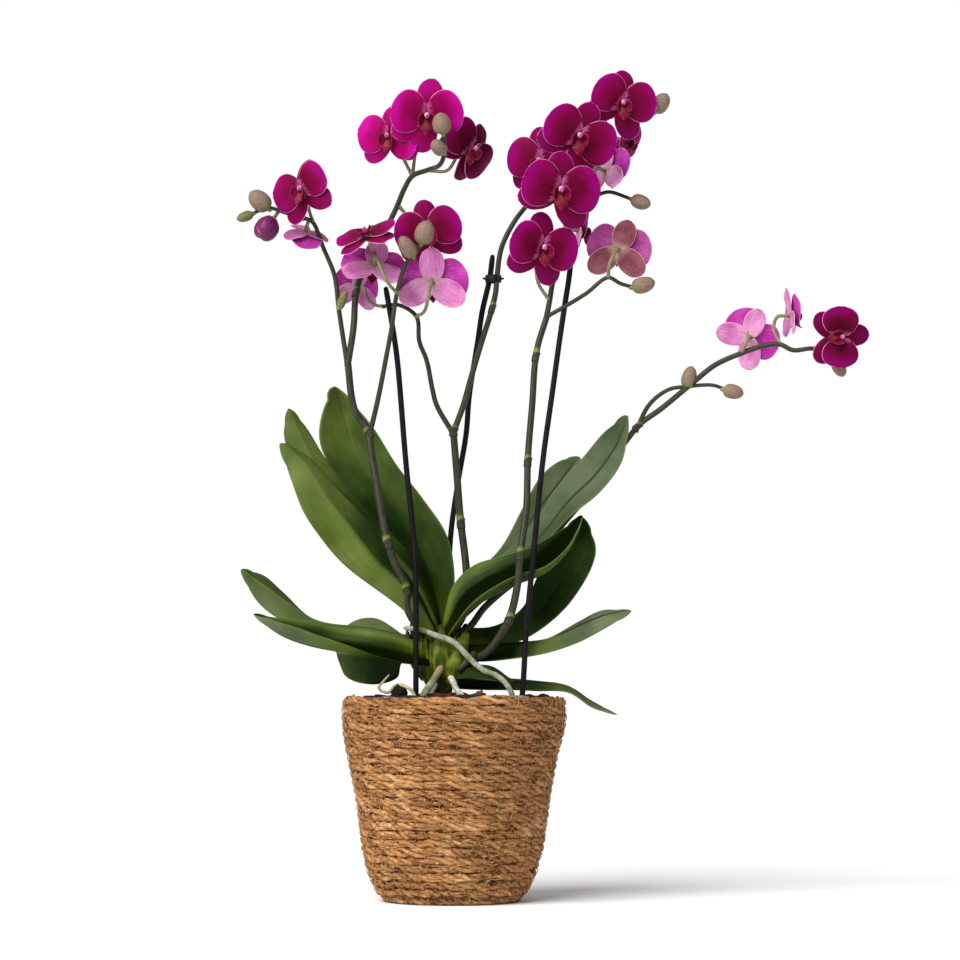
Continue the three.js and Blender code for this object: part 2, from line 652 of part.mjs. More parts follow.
// Where each bloom's centre is, the way its face looks, where the tip of its top sepal points, how
// wide it is as a share of the full span, and how its stalk runs from the spike to its back
const BLOOMS = {
  bloom_top_left_1: {
    at: [-18, -26, 535], faces: [0, -1, -0.25], top: [0.05, 0, 1], size: 1,
    spike: "spike_left", stalk: [[-28, -2, 493], [-25, 0, 514]],
  },
  bloom_top_left_2: {
    at: [-44, -8, 520], faces: [-0.35, -0.9, -0.1], top: [0.05, 0, 1], size: 0.88,
    spike: "spike_left", stalk: [[-28, -2, 493], [-34, 4, 505]],
  },
  bloom_top_left_3: {
    at: [13, -12, 513], faces: [0.4, -0.85, -0.35], top: [0.2, 0, 1], size: 0.7,
    spike: "spike_left", stalk: [[-18, -8, 497], [-4, -6, 497]],
  },
  bloom_far_left_1: {
    at: [-103, -32, 483], faces: [-0.5, -0.85, 0], top: [0.15, 0, 1], size: 0.86,
    spike: "spike_left", stalk: [[-96, -14, 461], [-99, -14, 472]],
  },
  bloom_far_left_2: {
    at: [-101, -10, 454], faces: [-0.3, -0.3, -0.85], top: [0.9, 0, -0.3], size: 0.68,
    spike: "spike_left", stalk: [[-102, -16, 464], [-105, -11, 463]], bend: 0.5,
  },
  bloom_far_left_3: {
    at: [-124, -22, 462], faces: [-0.35, -0.4, -0.6], top: [0, -1, 0], size: 0.5,
    spike: "spike_left", stalk: [[-116, -20, 468], [-118, -20, 469]], opening: true,
  },
  bloom_mid_left_1: {
    at: [-59, -38, 452], faces: [-0.1, -0.5, 0.85], top: [0.1, 0.8, 0.5], size: 0.84,
    spike: "spike_left", stalk: [[-51, 6, 445], [-54, -18, 440]],
  },
  bloom_mid_left_2: {
    at: [-17, -18, 454], faces: [0.05, -1, -0.1], top: [0, 0, 1], size: 0.9,
    spike: "spike_left", stalk: [[-38, 4, 473], [-26, 6, 460]],
  },
  bloom_mid_left_3: {
    at: [-54, -24, 431], faces: [-0.1, 0.8, -0.6], top: [0.1, 0.5, 0.8], size: 0.88,
    spike: "spike_left", stalk: [[-38, -34, 412], [-45, -40, 420]],
  },
  bloom_mid_left_4: {
    at: [-66, 20, 416], faces: [-0.4, -0.9, -0.1], top: [0, 0, 1], size: 0.66,
    spike: "spike_middle", stalk: [[-47, -2, 403], [-54, 12, 403], [-60, 24, 407]],
  },
  bloom_mid_left_5: {
    at: [-14, -16, 419], faces: [0.05, 1, -0.1], top: [0, 0, 1], size: 0.96,
    spike: "spike_middle", stalk: [[-25, -6, 396], [-19, -22, 401]],
  },
  bloom_right_1: {
    at: [116, -14, 543], faces: [0.1, -1, -0.15], top: [0, 0, 1], size: 0.92,
    spike: "spike_middle", stalk: [[104, 14, 532], [110, 10, 538]],
  },
  bloom_right_2: {
    at: [86, -28, 520], faces: [0, -1, -0.15], top: [0.1, 0, 1], size: 1.02,
    spike: "spike_middle", stalk: [[77, 16, 504], [82, 4, 516]],
  },
  bloom_right_3: {
    at: [56, -6, 507], faces: [-0.5, -0.85, -0.1], top: [0, 0, 1], size: 0.84,
    spike: "spike_middle", stalk: [[49, 6, 471], [54, 10, 490]],
  },
  bloom_right_4: {
    at: [73, -46, 483], faces: [0, -1, -0.2], top: [0, 0, 1], size: 1.06,
    spike: "spike_right", stalk: [[80, 1, 457], [72, -8, 466], [73, -26, 480]],
  },
  bloom_right_5: {
    at: [61, -36, 443], faces: [-0.1, -1, -0.2], top: [-0.05, 0, 1], size: 0.98,
    spike: "spike_right", stalk: [[66, -14, 407], [58, -16, 420]],
  },
  bloom_right_6: {
    at: [105, 2, 496], faces: [0.7, 0.65, -0.2], top: [-0.1, 0.1, 1], size: 0.82,
    spike: "spike_right", stalk: [[94, 9, 477], [94, -2, 484]],
  },
  bloom_right_7: {
    at: [120, 18, 517], faces: [0.85, -0.3, -0.35], top: [0.2, 0, 1], size: 0.76,
    spike: "spike_middle", stalk: [[104, 14, 532], [106, 20, 526]],
  },
  bloom_right_8: {
    at: [87, 30, 455], faces: [0.8, 0.55, -0.1], top: [0, 0.2, 1], size: 0.72,
    spike: "spike_right", stalk: [[84, 5, 468], [76, 20, 466]],
  },
  bloom_right_9: {
    at: [113, -12, 442], faces: [0.15, 1, 0.05], top: [0.3, 0, 1], size: 0.88,
    spike: "spike_right", stalk: [[106, -20, 423], [107, -27, 432]],
  },
  bloom_far_right_1: {
    at: [202, 14, 382], faces: [0.05, 1, 0.1], top: [-0.1, 0, 1], size: 0.88,
    spike: "spike_far_right", stalk: [[197, 0, 371], [200, -4, 378]],
  },
  bloom_far_right_2: {
    at: [231, 12, 397], faces: [0.85, 0.4, 0.15], top: [0, 0, 1], size: 0.76,
    spike: "spike_far_right", stalk: [[223, -4, 377], [219, 2, 388]],
  },
  bloom_far_right_3: {
    at: [264, -20, 382], faces: [0.1, -1, -0.1], top: [0.98, 0, 0.15], size: 0.76,
    spike: "spike_far_right", stalk: [[246, -8, 374], [256, -4, 379]],
  },
};

// Half widths at the steps along a tepal, as shares of the widest, and its lengths as shares of the span
const PETAL = {
  steps: [0.3, 0.62, 0.88], widths: [0.82, 1, 0.7], length: 0.49, width: 0.54, level: 0.8, bend: 0.12,
  across: [-1, 0, 1],
};
const SEPAL = {
  steps: [0.42, 0.86], widths: [0.98, 0.82], length: 0.43, width: 0.31, level: -0.8, bend: -0.15,
  across: [-1, 1],
};
// Round the bloom from its right: the direction of each tepal in degrees
const TEPALS = [
  { kind: PETAL, angle: 15 },
  { kind: SEPAL, angle: 90 },
  { kind: PETAL, angle: 165 },
  { kind: SEPAL, angle: 215 },
  { kind: SEPAL, angle: 325 },
];
const HUB_RADIUS = 2.9;
const NECK_RADIUS = 1.3;
// Rings of the column, whose tip leans up over the lip
const THROAT = { radius: 2.2, lift: 0.8, level: 3.2 };
const COLUMN = { radius: 1.6, lift: 2, level: 7.5 };
const EDGE_DROOP = 0.8; // how far the side edges of a tepal hang back
const DEGREE = Math.PI / 180;

// Rows of a tepal on the bloom's own frame: x right, y up, z out of its face
function tepalRows({ kind, angle }, span, bend, grow) {
  const out = new Vector3(Math.cos(angle * DEGREE), Math.sin(angle * DEGREE), 0);
  const side = new Vector3(-Math.sin(angle * DEGREE), Math.cos(angle * DEGREE), 0);
  const length = kind.length * span;
  const half = (kind.width * span) / 2;
  const curl = kind.bend + bend;
  const place = (share, across) => {
    const reach = (length * Math.sin(curl * share)) / curl;
    const rise = (length * (1 - Math.cos(curl * share))) / curl;
    return out.clone().multiplyScalar(reach)
      .addScaledVector(side, across * half + Math.sign(across) * grow)
      .add(new Vector3(0, 0, kind.level + rise - EDGE_DROOP * across * across * share));
  };
  const rows = kind.steps.map((share, i) => {
    const wide = kind.widths[i];
    return kind.across.map((across) => place(share, across * wide));
  });
  rows.push([place(1 + grow / length, 0)]);
  return rows;
}

// Corners of a ring round the bloom's axis, one between each two tepals
function hubRing(radius, lift, level) {
  return TEPALS.map(({ angle }, i) => {
    const before = TEPALS[(i + TEPALS.length - 1) % TEPALS.length].angle - (i === 0 ? 360 : 0);
    const corner = ((angle + before) / 2) * DEGREE;
    return new Vector3(radius * Math.cos(corner), radius * Math.sin(corner) + lift, level);
  });
}

// Adds points to a mesh in the making and gives back their numbers
function addPoints(mesh, points) {
  const first = mesh.points.length;
  mesh.points.push(...points);
  return points.map((point, i) => first + i);
}

// A tepal between two corners of the hub: front and back faces, and the rim between them
function addTepal(mesh, rows, base, half) {
  const corners = base.front.map((number) => mesh.points[number]);
  const flat = [...corners, ...rows.flat()];
  const triangles = sheetTriangles([corners, ...rows]);
  const normals = sheetNormals(flat, triangles);
  const shifted = (side) => flat.slice(2).map((point, i) => {
    return point.clone().addScaledVector(normals[i + 2], side * half);
  });
  const front = [...base.front, ...addPoints(mesh, shifted(1))];
  const back = [...base.back, ...addPoints(mesh, shifted(-1))];
  const edges = new Set();
  for (const [a, b, c] of triangles) {
    mesh.faces.push([front[a], front[b], front[c]], [back[a], back[c], back[b]]);
    [[a, b], [b, c], [c, a]].forEach(([from, to]) => edges.add(`${from} ${to}`));
  }
  for (const edge of edges) {
    const [from, to] = edge.split(" ").map(Number);
    const atHub = from < 2 && to < 2;
    if (!atHub && !edges.has(`${to} ${from}`)) {
      mesh.faces.push([front[to], front[from], back[from]], [front[to], back[from], back[to]]);
    }
  }
}

// A band of wall between two rings, left open where a tepal grows out of it
function addWall(mesh, low, high, isOpen = () => false) {
  const count = low.length;
  for (let i = 0; i < count; i += 1) {
    const next = (i + 1) % count;
    if (!isOpen(i)) {
      mesh.faces.push([low[i], low[next], high[next]], [low[i], high[next], high[i]]);
    }
  }
}

function addLid(mesh, ring, facesOut) {
  for (let i = 1; i + 1 < ring.length; i += 1) {
    const [a, b, c] = [ring[0], ring[i], ring[i + 1]];
    mesh.faces.push(facesOut ? [a, b, c] : [a, c, b]);
  }
}

// The lip of a full-sized bloom: two side lobes that stand up at the column, and an arrow-shaped
// middle lobe. Each row gives the half width, and how far it is above the axis and out of the face
const LIP = [[1.2, -0.6, 2], [6.4, 0.4, 5.8], [1.9, -6, 5], [5, -9.8, 7]];
const LIP_TIP = [0, -15.5, 8.2];

function lipRows(k) {
  const rows = LIP.map(([half, y, z]) => [new Vector3(-half, y, z), new Vector3(half, y, z)]);
  rows.push([new Vector3(...LIP_TIP)]);
  rows.flat().forEach((point) => point.multiplyScalar(k));
  return rows;
}

// A matrix that puts the bloom's own frame at its place
function bloomFrame(bloom) {
  const front = new Vector3(...bloom.faces).normalize();
  const right = new Vector3(...bloom.top).cross(front).normalize();
  const up = front.clone().cross(right);
  return new Matrix4().makeBasis(right, up, front).setPosition(seen(bloom.at));
}

// A bloom that is only starting to open: its tepals still lie together as lobes of a globe
const OPENING = { length: 16, radius: 5.4, spread: 2.6, neck: [1.4, 2.4], lobes: [90, 210, 330] };

function makeOpeningBloom(bloom, grow) {
  const frame = bloomFrame(bloom);
  const onFrame = (x, y, z) => new Vector3(x, y, z).applyMatrix4(frame);
  const bodies = [stem([onFrame(0, 0, -NECK_LENGTH), onFrame(0, 0, 2)], OPENING.neck, grow)];
  for (const turn of OPENING.lobes) {
    const x = OPENING.spread * Math.cos(turn * DEGREE);
    const y = OPENING.spread * Math.sin(turn * DEGREE);
    bodies.push(egg(onFrame(x / 3, y / 3, -1), onFrame(x, y, OPENING.length), OPENING.radius, grow));
  }
  return joined(bodies);
}

// Five tepals round a hub, which runs back into the neck and forward into the column
function makeBloom(bloom, grow) {
  const k = bloom.size;
  const half = TEPAL_THICKNESS / 2 + grow;
  const mesh = { points: [], faces: [] };
  const radius = HUB_RADIUS * k + grow;
  const levels = [SEPAL.level - half, SEPAL.level + half, PETAL.level - half, PETAL.level + half];
  const rings = levels.map((level) => addPoints(mesh, hubRing(radius, 0, level)));
  const grows = (kind) => (i) => TEPALS[i].kind === kind;
  addWall(mesh, rings[0], rings[1], grows(SEPAL));
  addWall(mesh, rings[1], rings[2]);
  addWall(mesh, rings[2], rings[3], grows(PETAL));
  TEPALS.forEach((tepal, i) => {
    const next = (i + 1) % TEPALS.length;
    const [low, high] = tepal.kind === SEPAL ? [rings[0], rings[1]] : [rings[2], rings[3]];
    const base = { front: [high[i], high[next]], back: [low[i], low[next]] };
    addTepal(mesh, tepalRows(tepal, BLOOM_SPAN * k, bloom.bend ?? 0, grow), base, half);
  });
  const throat = addPoints(mesh, hubRing(THROAT.radius * k + grow, THROAT.lift * k, THROAT.level * k));
  const tip = addPoints(mesh, hubRing(COLUMN.radius * k + grow, COLUMN.lift * k, COLUMN.level * k + grow));
  const neck = addPoints(mesh, hubRing(NECK_RADIUS + grow, 0, -NECK_LENGTH - grow));
  addWall(mesh, rings[3], throat);
  addWall(mesh, throat, tip);
  addLid(mesh, tip, true);
  addWall(mesh, neck, rings[0]);
  addLid(mesh, neck, false);
  const geometry = new BufferGeometry();
  const coordinates = mesh.points.flatMap((point) => point.toArray());
  geometry.setAttribute("position", new Float32BufferAttribute(coordinates, 3));
  geometry.setIndex(mesh.faces.flat());
  const frame = bloomFrame(bloom);
  geometry.applyMatrix4(frame);
  const lip = lipRows(k).map((row) => row.map((point) => point.applyMatrix4(frame)));
  return solid(geometry).add(blade(lip, LIP_THICKNESS, grow));
}

// Spikes

// Every spike is arms of stem, each with the radii along it, and what grows on them: sheaths at the
// nodes, closed buds with the place they grow from, and the stalks of its blooms
const SPIKES = {
  spike_left: {
    arms: [
      { radii: [2.8, 2.7, 2.4], route: [
        [-12, -5, 182], [-24, -11, 186], [-31, -15, 198], [-32, -17, 212], [-39, -20, 226],
        [-45, -20, 244], [-50, -18, 270], [-56, -14, 306], [-58, -12, 318], [-67, -12, 332],
        [-72, -12, 366],
      ] },
      { radii: [2.3, 2, 1.7, 1.5], route: [
        [-72, -12, 362], [-68, -12, 388], [-66, -6, 414], [-60, 2, 430], [-51, 6, 445], [-45, 6, 458],
        [-38, 4, 473], [-34, 1, 483], [-28, -2, 493], [-18, -8, 497], [-9, -24, 501], [-6, -34, 509],
        [-6, -42, 518], [-7, -45, 524],
      ] },
      { radii: [1.7, 1.4, 1.2], route: [
        [-72, -12, 362], [-78, -12, 401], [-81, -12, 424], [-89, -12, 444], [-96, -14, 461],
        [-102, -16, 464], [-116, -20, 468], [-126, -22, 471], [-138, -24, 467],
      ] },
      { radii: [1.8, 1.5, 1.3], route: [
        [-57, -12, 314], [-51, -22, 340], [-46, -29, 366], [-42, -32, 388], [-38, -34, 414],
        [-32, -37, 433], [-26, -40, 440], [-21, -43, 449],
      ] },
    ],
    nodes: [[-32, -17, 212], [-45, -20, 244], [-58, -12, 318], [-66, -6, 414]],
    buds: [
      { from: [-7, -45, 522], to: [-9, -47, 537], radius: 6.6 },
      { from: [-7, -30, 503], to: [-14, -44, 522], radius: 4.8 },
      { from: [-126, -22, 470], to: [-139, -26, 482], radius: 7 },
      { from: [-136, -24, 467], to: [-150, -27, 463], radius: 4.2 },
      { from: [-22, -42, 446], to: [-17, -47, 462], radius: 6.8 },
      { from: [-27, -39, 437], to: [-36, -46, 451], radius: 5.8 },
      { from: [-78, -12, 401], to: [-73, -17, 414], radius: 3.2 },
    ],
  },
  spike_middle: {
    arms: [
      { radii: [2.7, 2.6, 2.4], route: [
        [-4, 2, 178], [6, 7, 190], [9, 8, 206], [9, 9, 224], [5, 8, 258], [3, 6, 284], [0, 4, 320],
      ] },
      { radii: [2.1, 1.9, 1.6, 1.3], route: [
        [0, 4, 316], [7, 4, 335], [12, 3, 353], [19, 2, 377], [25, 2, 396], [29, 2, 412], [30, 2, 423],
        [33, 1, 443], [41, 2, 460], [49, 6, 471], [63, 12, 487], [77, 16, 504], [90, 16, 518],
        [104, 14, 532], [120, 10, 537], [138, 2, 541],
      ] },
      { radii: [1.8, 1.6, 1.3], route: [
        [0, 4, 316], [-11, 2, 335], [-14, 0, 346], [-18, -2, 366], [-23, -4, 379], [-25, -6, 396],
        [-37, -5, 404], [-48, -2, 403],
      ] },
    ],
    nodes: [[5, 8, 258], [0, 4, 320], [27, 2, 404]],
    buds: [{ from: [136, 2, 541], to: [153, -2, 544], radius: 6 }],
  },
  spike_right: {
    arms: [
      { radii: [2.8, 2.6, 2.3, 2.1], route: [
        [-2, -4, 166], [12, -9, 162], [24, -16, 168], [33, -22, 180], [39, -25, 192],
        [44, -27, 214], [46, -28, 236], [50, -24, 266], [51, -20, 299], [54, -18, 336],
        [57, -16, 372], [64, -14, 396],
      ] },
      { radii: [1.9, 1.7, 1.4, 1.2], route: [
        [63, -14, 392], [66, -14, 407], [68, -12, 419], [74, -5, 438], [80, 1, 457], [84, 5, 468],
        [94, 9, 477], [106, 8, 482], [117, 5, 479], [124, 2, 476],
      ] },
      { radii: [1.5, 1.3], route: [
        [64, -14, 396], [78, -16, 404], [91, -18, 412], [106, -20, 423], [114, -20, 419], [124, -20, 416],
      ] },
    ],
    nodes: [[39, -25, 192], [46, -28, 236], [51, -20, 299], [57, -16, 372]],
    buds: [
      { from: [122, 3, 477], to: [135, -2, 473], radius: 5.4 },
      { from: [122, -20, 416], to: [138, -21, 420], radius: 6 },
    ],
  },
  spike_far_right: {
    arms: [
      { radii: [2.4, 2.2, 2, 1.8, 1.5], route: [
        [-2, 3, 176], [11, 4, 184], [21, 6, 197], [33, 8, 208], [43, 12, 216], [58, 19, 232], [73, 24, 252],
        [88, 26, 270], [100, 26, 288], [118, 22, 311], [127, 20, 322], [142, 16, 333],
        [165, 8, 352], [179, 4, 363], [197, 0, 371], [212, -2, 376], [223, -4, 377], [232, -6, 373],
        [246, -8, 374], [258, -5, 368],
      ] },
      { radii: [1.6, 1.4, 1.2], route: [
        [125, 20, 319], [134, 16, 336], [147, 12, 346], [159, 10, 348], [177, 8, 349], [186, 7, 346],
      ] },
    ],
    nodes: [[127, 20, 322]],
    buds: [
      { from: [159, 10, 347], to: [163, 10, 362], radius: 5.4 },
      { from: [184, 7, 346], to: [198, 6, 343], radius: 5.4 },
      { from: [257, -5, 368], to: [268, -4, 354], radius: 4.4 },
    ],
  },
};

const SHEATH_LENGTH = 8;
const SHEATH_RADII = [2.6, 3.2];

// A short sheath that clasps the spike below a node
function sheath(place, grow) {
  const top = seen(place);
  const foot = top.clone().add(new Vector3(0, 0, -SHEATH_LENGTH));
  return stem([foot, top], SHEATH_RADII, grow);
}

// The stalk runs from the spike and straight into the bloom's neck
function stalk(bloom, grow) {
  const frame = bloomFrame(bloom);
  const end = new Vector3(0, 0, -NECK_LENGTH - GAP).applyMatrix4(frame);
  const behind = new Vector3(0, 0, -NECK_LENGTH - STALK_RUN_IN).applyMatrix4(frame);
  return stem([...bloom.stalk.map(seen), behind, end], [STALK_RADIUS, STALK_RADIUS], grow, STALK_SIDES);
}

function makeSpike(name, grow) {
  const spike = SPIKES[name];
  const bodies = spike.arms.map((arm) => stem(arm.route.map(seen), arm.radii, grow));
  for (const place of spike.nodes) {
    bodies.push(sheath(place, grow));
  }
  for (const bud of spike.buds) {
    const from = seen(bud.from);
    const to = seen(bud.to);
    bodies.push(egg(from, to, bud.radius, grow));
  }
  for (const bloom of Object.values(BLOOMS)) {
    if (bloom.spike === name) {
      bodies.push(stalk(bloom, grow));
    }
  }
  return joined(bodies);
}

// The clip: a small band round the middle stake and its spike, with a prong to each side
const CLIP = { at: [27.5, 5, 422], radius: 5.6, height: 5, sides: 10, prong: 7.5, prongSize: 1.6 };

function makeClip() {
  const centre = seen(CLIP.at);
  const band = new CylinderGeometry(CLIP.radius, CLIP.radius, CLIP.height, CLIP.sides);
  band.rotateX(Math.PI / 2);
  const prong = new BoxGeometry(2 * CLIP.prong, CLIP.prongSize, CLIP.prongSize);
  const bodies = [band, prong].map((geometry) => {
    geometry.translate(centre.x, centre.y, centre.z);
    return solid(geometry);
  });
  return joined(bodies);
}

// Putting it together

// Pieces in the order that they take their place: a later one is trimmed round an earlier one
function listPieces() {
  const pieces = [];
  const add = (name, material, make) => pieces.push({ name, material, make });
  for (const [name, route] of Object.entries(STAKES)) {
    add(name, "stake", (grow) => stem(route.map(seen), [STAKE_RADIUS, STAKE_RADIUS], grow));
  }
  add("crown", "crown", (grow) => stem(CROWN.route.map(seen), CROWN.radii, grow, CROWN_SIDES));
  for (const name of Object.keys(SPIKES)) {
    add(name, "spike", (grow) => makeSpike(name, grow));
  }
  for (const [name, root] of Object.entries(ROOTS)) {
    add(name, root.material, (grow) => stem(root.route.map(seen), root.radii, grow));
  }
  for (const [name, leaf] of Object.entries(LEAVES)) {
    const material = name.startsWith("leaf_left") ? "leaf_left" : "leaf_right";
    add(name, material, (grow) => blade(leafRows(leaf), LEAF_THICKNESS, grow));
  }
  for (const [name, bloom] of Object.entries(BLOOMS)) {
    const make = bloom.opening ? makeOpeningBloom : makeBloom;
    add(name, bloom.faces[1] > 0.5 ? "bloom_back" : "bloom", (grow) => make(bloom, grow));
  }
  add("stake_clip", "clip", () => makeClip());
  add("bark", "bark", () => makeBark());
  return pieces;
}

function boxesApart(a, b) {
  const one = a.boundingBox();
  const two = b.boundingBox();
  return [0, 1, 2].some((axis) => one.max[axis] < two.min[axis] || two.max[axis] < one.min[axis]);
}

function meshOf(name, material, body) {
  const mesh = new Mesh(geometryOf(body), MATERIALS[material]);
  mesh.name = name;
  return mesh;
}

function buildPlant(group) {
  const placed = [];
  for (const piece of listPieces()) {
    let body = piece.make(0);
    for (const earlier of placed) {
      if (!boxesApart(body, earlier)) {
        body = body.subtract(earlier);
      }
    }
    group.add(meshOf(piece.name, piece.material, mainBody(body)));
    placed.push(piece.make(GAP));
  }
}

const orchid = new Group();
orchid.add(meshOf("basket", "basket", makeBasket()));
orchid.add(meshOf("basket_liner", "liner", makeLiner()));
orchid.add(meshOf("nursery_pot", "pot", makePot()));
buildPlant(orchid);

export default orchid;
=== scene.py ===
# A moth orchid with many magenta blooms, in a nursery pot that stands in a woven seagrass basket.
# Lengths are in millimetres. The tables give places as they line up from the front viewpoint.

import math
import random

import bpy
import numpy as np
from mathutils import Matrix, Vector, noise


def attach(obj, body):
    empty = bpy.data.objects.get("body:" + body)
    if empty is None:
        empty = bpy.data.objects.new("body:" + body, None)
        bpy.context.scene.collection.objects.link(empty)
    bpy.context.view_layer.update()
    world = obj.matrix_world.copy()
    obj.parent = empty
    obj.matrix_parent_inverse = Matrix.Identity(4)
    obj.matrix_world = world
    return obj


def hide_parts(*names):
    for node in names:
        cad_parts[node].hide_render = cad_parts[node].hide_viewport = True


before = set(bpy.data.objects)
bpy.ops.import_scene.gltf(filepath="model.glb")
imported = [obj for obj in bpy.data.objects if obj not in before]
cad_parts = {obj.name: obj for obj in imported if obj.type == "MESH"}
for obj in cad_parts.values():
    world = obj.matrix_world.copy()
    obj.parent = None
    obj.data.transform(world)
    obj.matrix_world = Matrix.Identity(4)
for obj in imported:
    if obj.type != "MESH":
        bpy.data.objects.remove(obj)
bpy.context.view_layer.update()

MM = 0.001  # in metres
BODY = "root"
FULL_TURN = 2 * math.pi

# Sizes

BASKET_HEIGHT = 137
BASKET_SIDE = [  # height and radius
    (0, 41), (3, 47), (9, 52), (20, 57), (35, 61), (50, 63.5), (70, 66.5), (85, 69.5),
    (100, 72.5), (112, 74.5), (125, 75.5), (133, 75), (137, 73.5),
]
BASKET_WALL = 5.5
BASKET_FLOOR = 5
ROPE_ROWS = 25
ROPE_STRANDS = 3
ROPE_TWISTS = 13  # of each rope in the wall
ROPE_MARGIN = 3  # from the foot and the rim to the middle of the nearest rope
ROPE_INSET = 2.6  # from the basket's side to the middle of a rope
STRAND_SIZE = (1.25, 1.65)  # half thickness of a strand, out of the wall and along it
STRAND_SWING = (0.75, 1.8)  # how far a strand winds out and up from the middle of its rope
STRAND_SIDES = 6
STRAND_SHADES = [-0.5, -0.25, -0.1, 0, 0, 0.1, 0.25, 0.4]  # more is darker
POINTS_A_TWIST = 13
FLOOR_RINGS = 6  # of the same rope, under the basket
FLOOR_RING_RADIUS = 38  # of the outermost ring
FLOOR_RING_STEP = 6.3
FLOOR_RING_HEIGHT = 3.4
TWISTS_RADIUS = 70  # of a ring that would have all of a rope's twists
STITCH_SPACING = 3.8
MISSING_STITCHES = 0.25  # the share of them that is left out
WHISKERS = 900

GAP = 0.35  # between neighbouring pieces
LINER_WALL = 0.8
LINER_TOP = 137.2
POT_BOTTOM = 6.5
POT_TOP = 138
POT_FOOT_RADIUS = 43
POT_TOP_RADIUS = 57.5
POT_RIM_RADIUS = 60.5
POT_RIM_HEIGHT = 6
POT_WALL = 1.4
BARK_TOP = 130
CHIPS = 210
CHIPS_RADIUS = 49
HEAP_RADIUS = 44
HEAP_HEIGHT = 8
GOLDEN_ANGLE = 2.39996  # spreads the chips evenly
CHIP_LEVELS = 4
CHIP_SIDES = 8

STAKE_RADIUS = 1.9
CLIP_AT = (27.5, 5, 422)  # lined up, as in the tables
CLIP_RADIUS = 5.6
CLIP_HEIGHT = 5
CLIP_REACH = 7.1  # from the middle to the end of a prong
CROWN_AXIS = -8  # its x
LEAF_THICKNESS = 1.5
LEAF_ROWS = 46
LEAF_COLUMNS = 19
FULL_FOLD_WIDTH = 24  # a leaf that is narrower than this is folded less
ROUND_TIP = 0.9  # where a leaf begins to round off
TEPAL_THICKNESS = 0.6
TEPAL_ROWS = 17
TEPAL_COLUMNS = 13
TEPAL_ANGLES = (15, 90, 165, 215, 325)  # of most blooms, in the order of TEPALS
EDGE_DROOP = 0.8
BLOOM_SPAN = 54
NECK_LENGTH = 4.5
STALK_RADIUS = 1.15
STEM_SIDES = 12
NODE_REACH = 2.2  # how far the green of a node spreads along its stem
SHEATH_LENGTH = 6.5
TUBE_TIP = 0.6  # how far a tube's end stands out, against its radius

# The front viewpoint: its x and height, and how far in front of the middle it stands
SIGHT_X = 18
SIGHT_Z = 140
SIGHT_DISTANCE = 2000


class Bloom:
    """A bloom: the spike it grows on, its stalk's way from there, its place, where its face and its top
    point, its size, the angles of its tepals, how much more they bend, and its colours."""

    def __init__(self, spike, stalk, at, faces, top, size, angles=TEPAL_ANGLES, bend=0, look="tepal"):
        self.spike = spike
        self.stalk = stalk
        self.at = at
        self.faces = faces
        self.top = top
        self.size = size
        self.angles = angles
        self.bend = bend
        self.look = look


# Places

STAKES = {
    "stake_left": [(-25, -20, 40), (-25, -20, 137), (-25, -20, 186), (-26, -20, 236), (-32, -20, 296),
        (-38, -22, 366), (-41, -22, 387), (-46, -22, 416)],
    "stake_middle": [(-4, 27, 40), (-3, 26, 137), (-2, 25, 240), (3, 22, 280), (9, 18, 316),
        (11, 16, 341), (17, 12, 380), (20, 10, 400), (25, 8, 422), (27, 8, 438)],
    "stake_right": [(36, -20, 40), (47, -26, 138), (50, -27, 186), (55, -27, 236), (61, -26, 296),
        (68, -22, 346), (72, -18, 375), (76, -14, 402), (80, -11, 429), (81, -10, 452)],
}

CROWN_ROUTE = [(-6, 0, 118), (-7, 0, 140), (-8, 0, 151), (-8, 0, 162), (-8, 0, 173), (-7, 1, 184)]
CROWN_RADII = [5, 7, 11.5, 13.5, 11.5, 5]

ROOTS = {  # material, radii, and way from the crown
    "root_across": ("root_silver", (1.6, 2.1, 2, 1.9, 1.8), [(-33, -13, 184), (-21, -15, 182),
        (-11, -16, 178.5), (-1, -17, 175), (3, -18, 172), (13, -20, 161.5), (21, -23, 155),
        (30, -26, 151), (37, -28, 145), (41, -29, 136), (42, -29, 126)]),
    "root_tan": ("root_silver", (2.6, 2.5, 2.2), [(-7, -5, 160), (-9, -12, 155), (-14, -19, 147),
        (-20, -23, 138), (-23, -24, 126)]),
    "root_white": ("root_pale", (2.4, 2.2, 1.8), [(-5, -4, 156), (-1, -11, 150), (2, -17, 143),
        (7, -20, 136), (9, -21, 125)]),
    "root_thin": ("root_silver", (1.6, 1.4), [(-9, -3, 150), (-12, -9, 144), (-15, -12, 137),
        (-16, -13, 124)]),
    "root_curled": ("root_dry", (0.7, 1.1, 1.1, 1.1), [(-43, -24, 152), (-50, -23, 143), (-44, -24, 140),
        (-38, -27, 145), (-30, -30, 143), (-25, -31, 136), (-24, -31, 125)]),
}

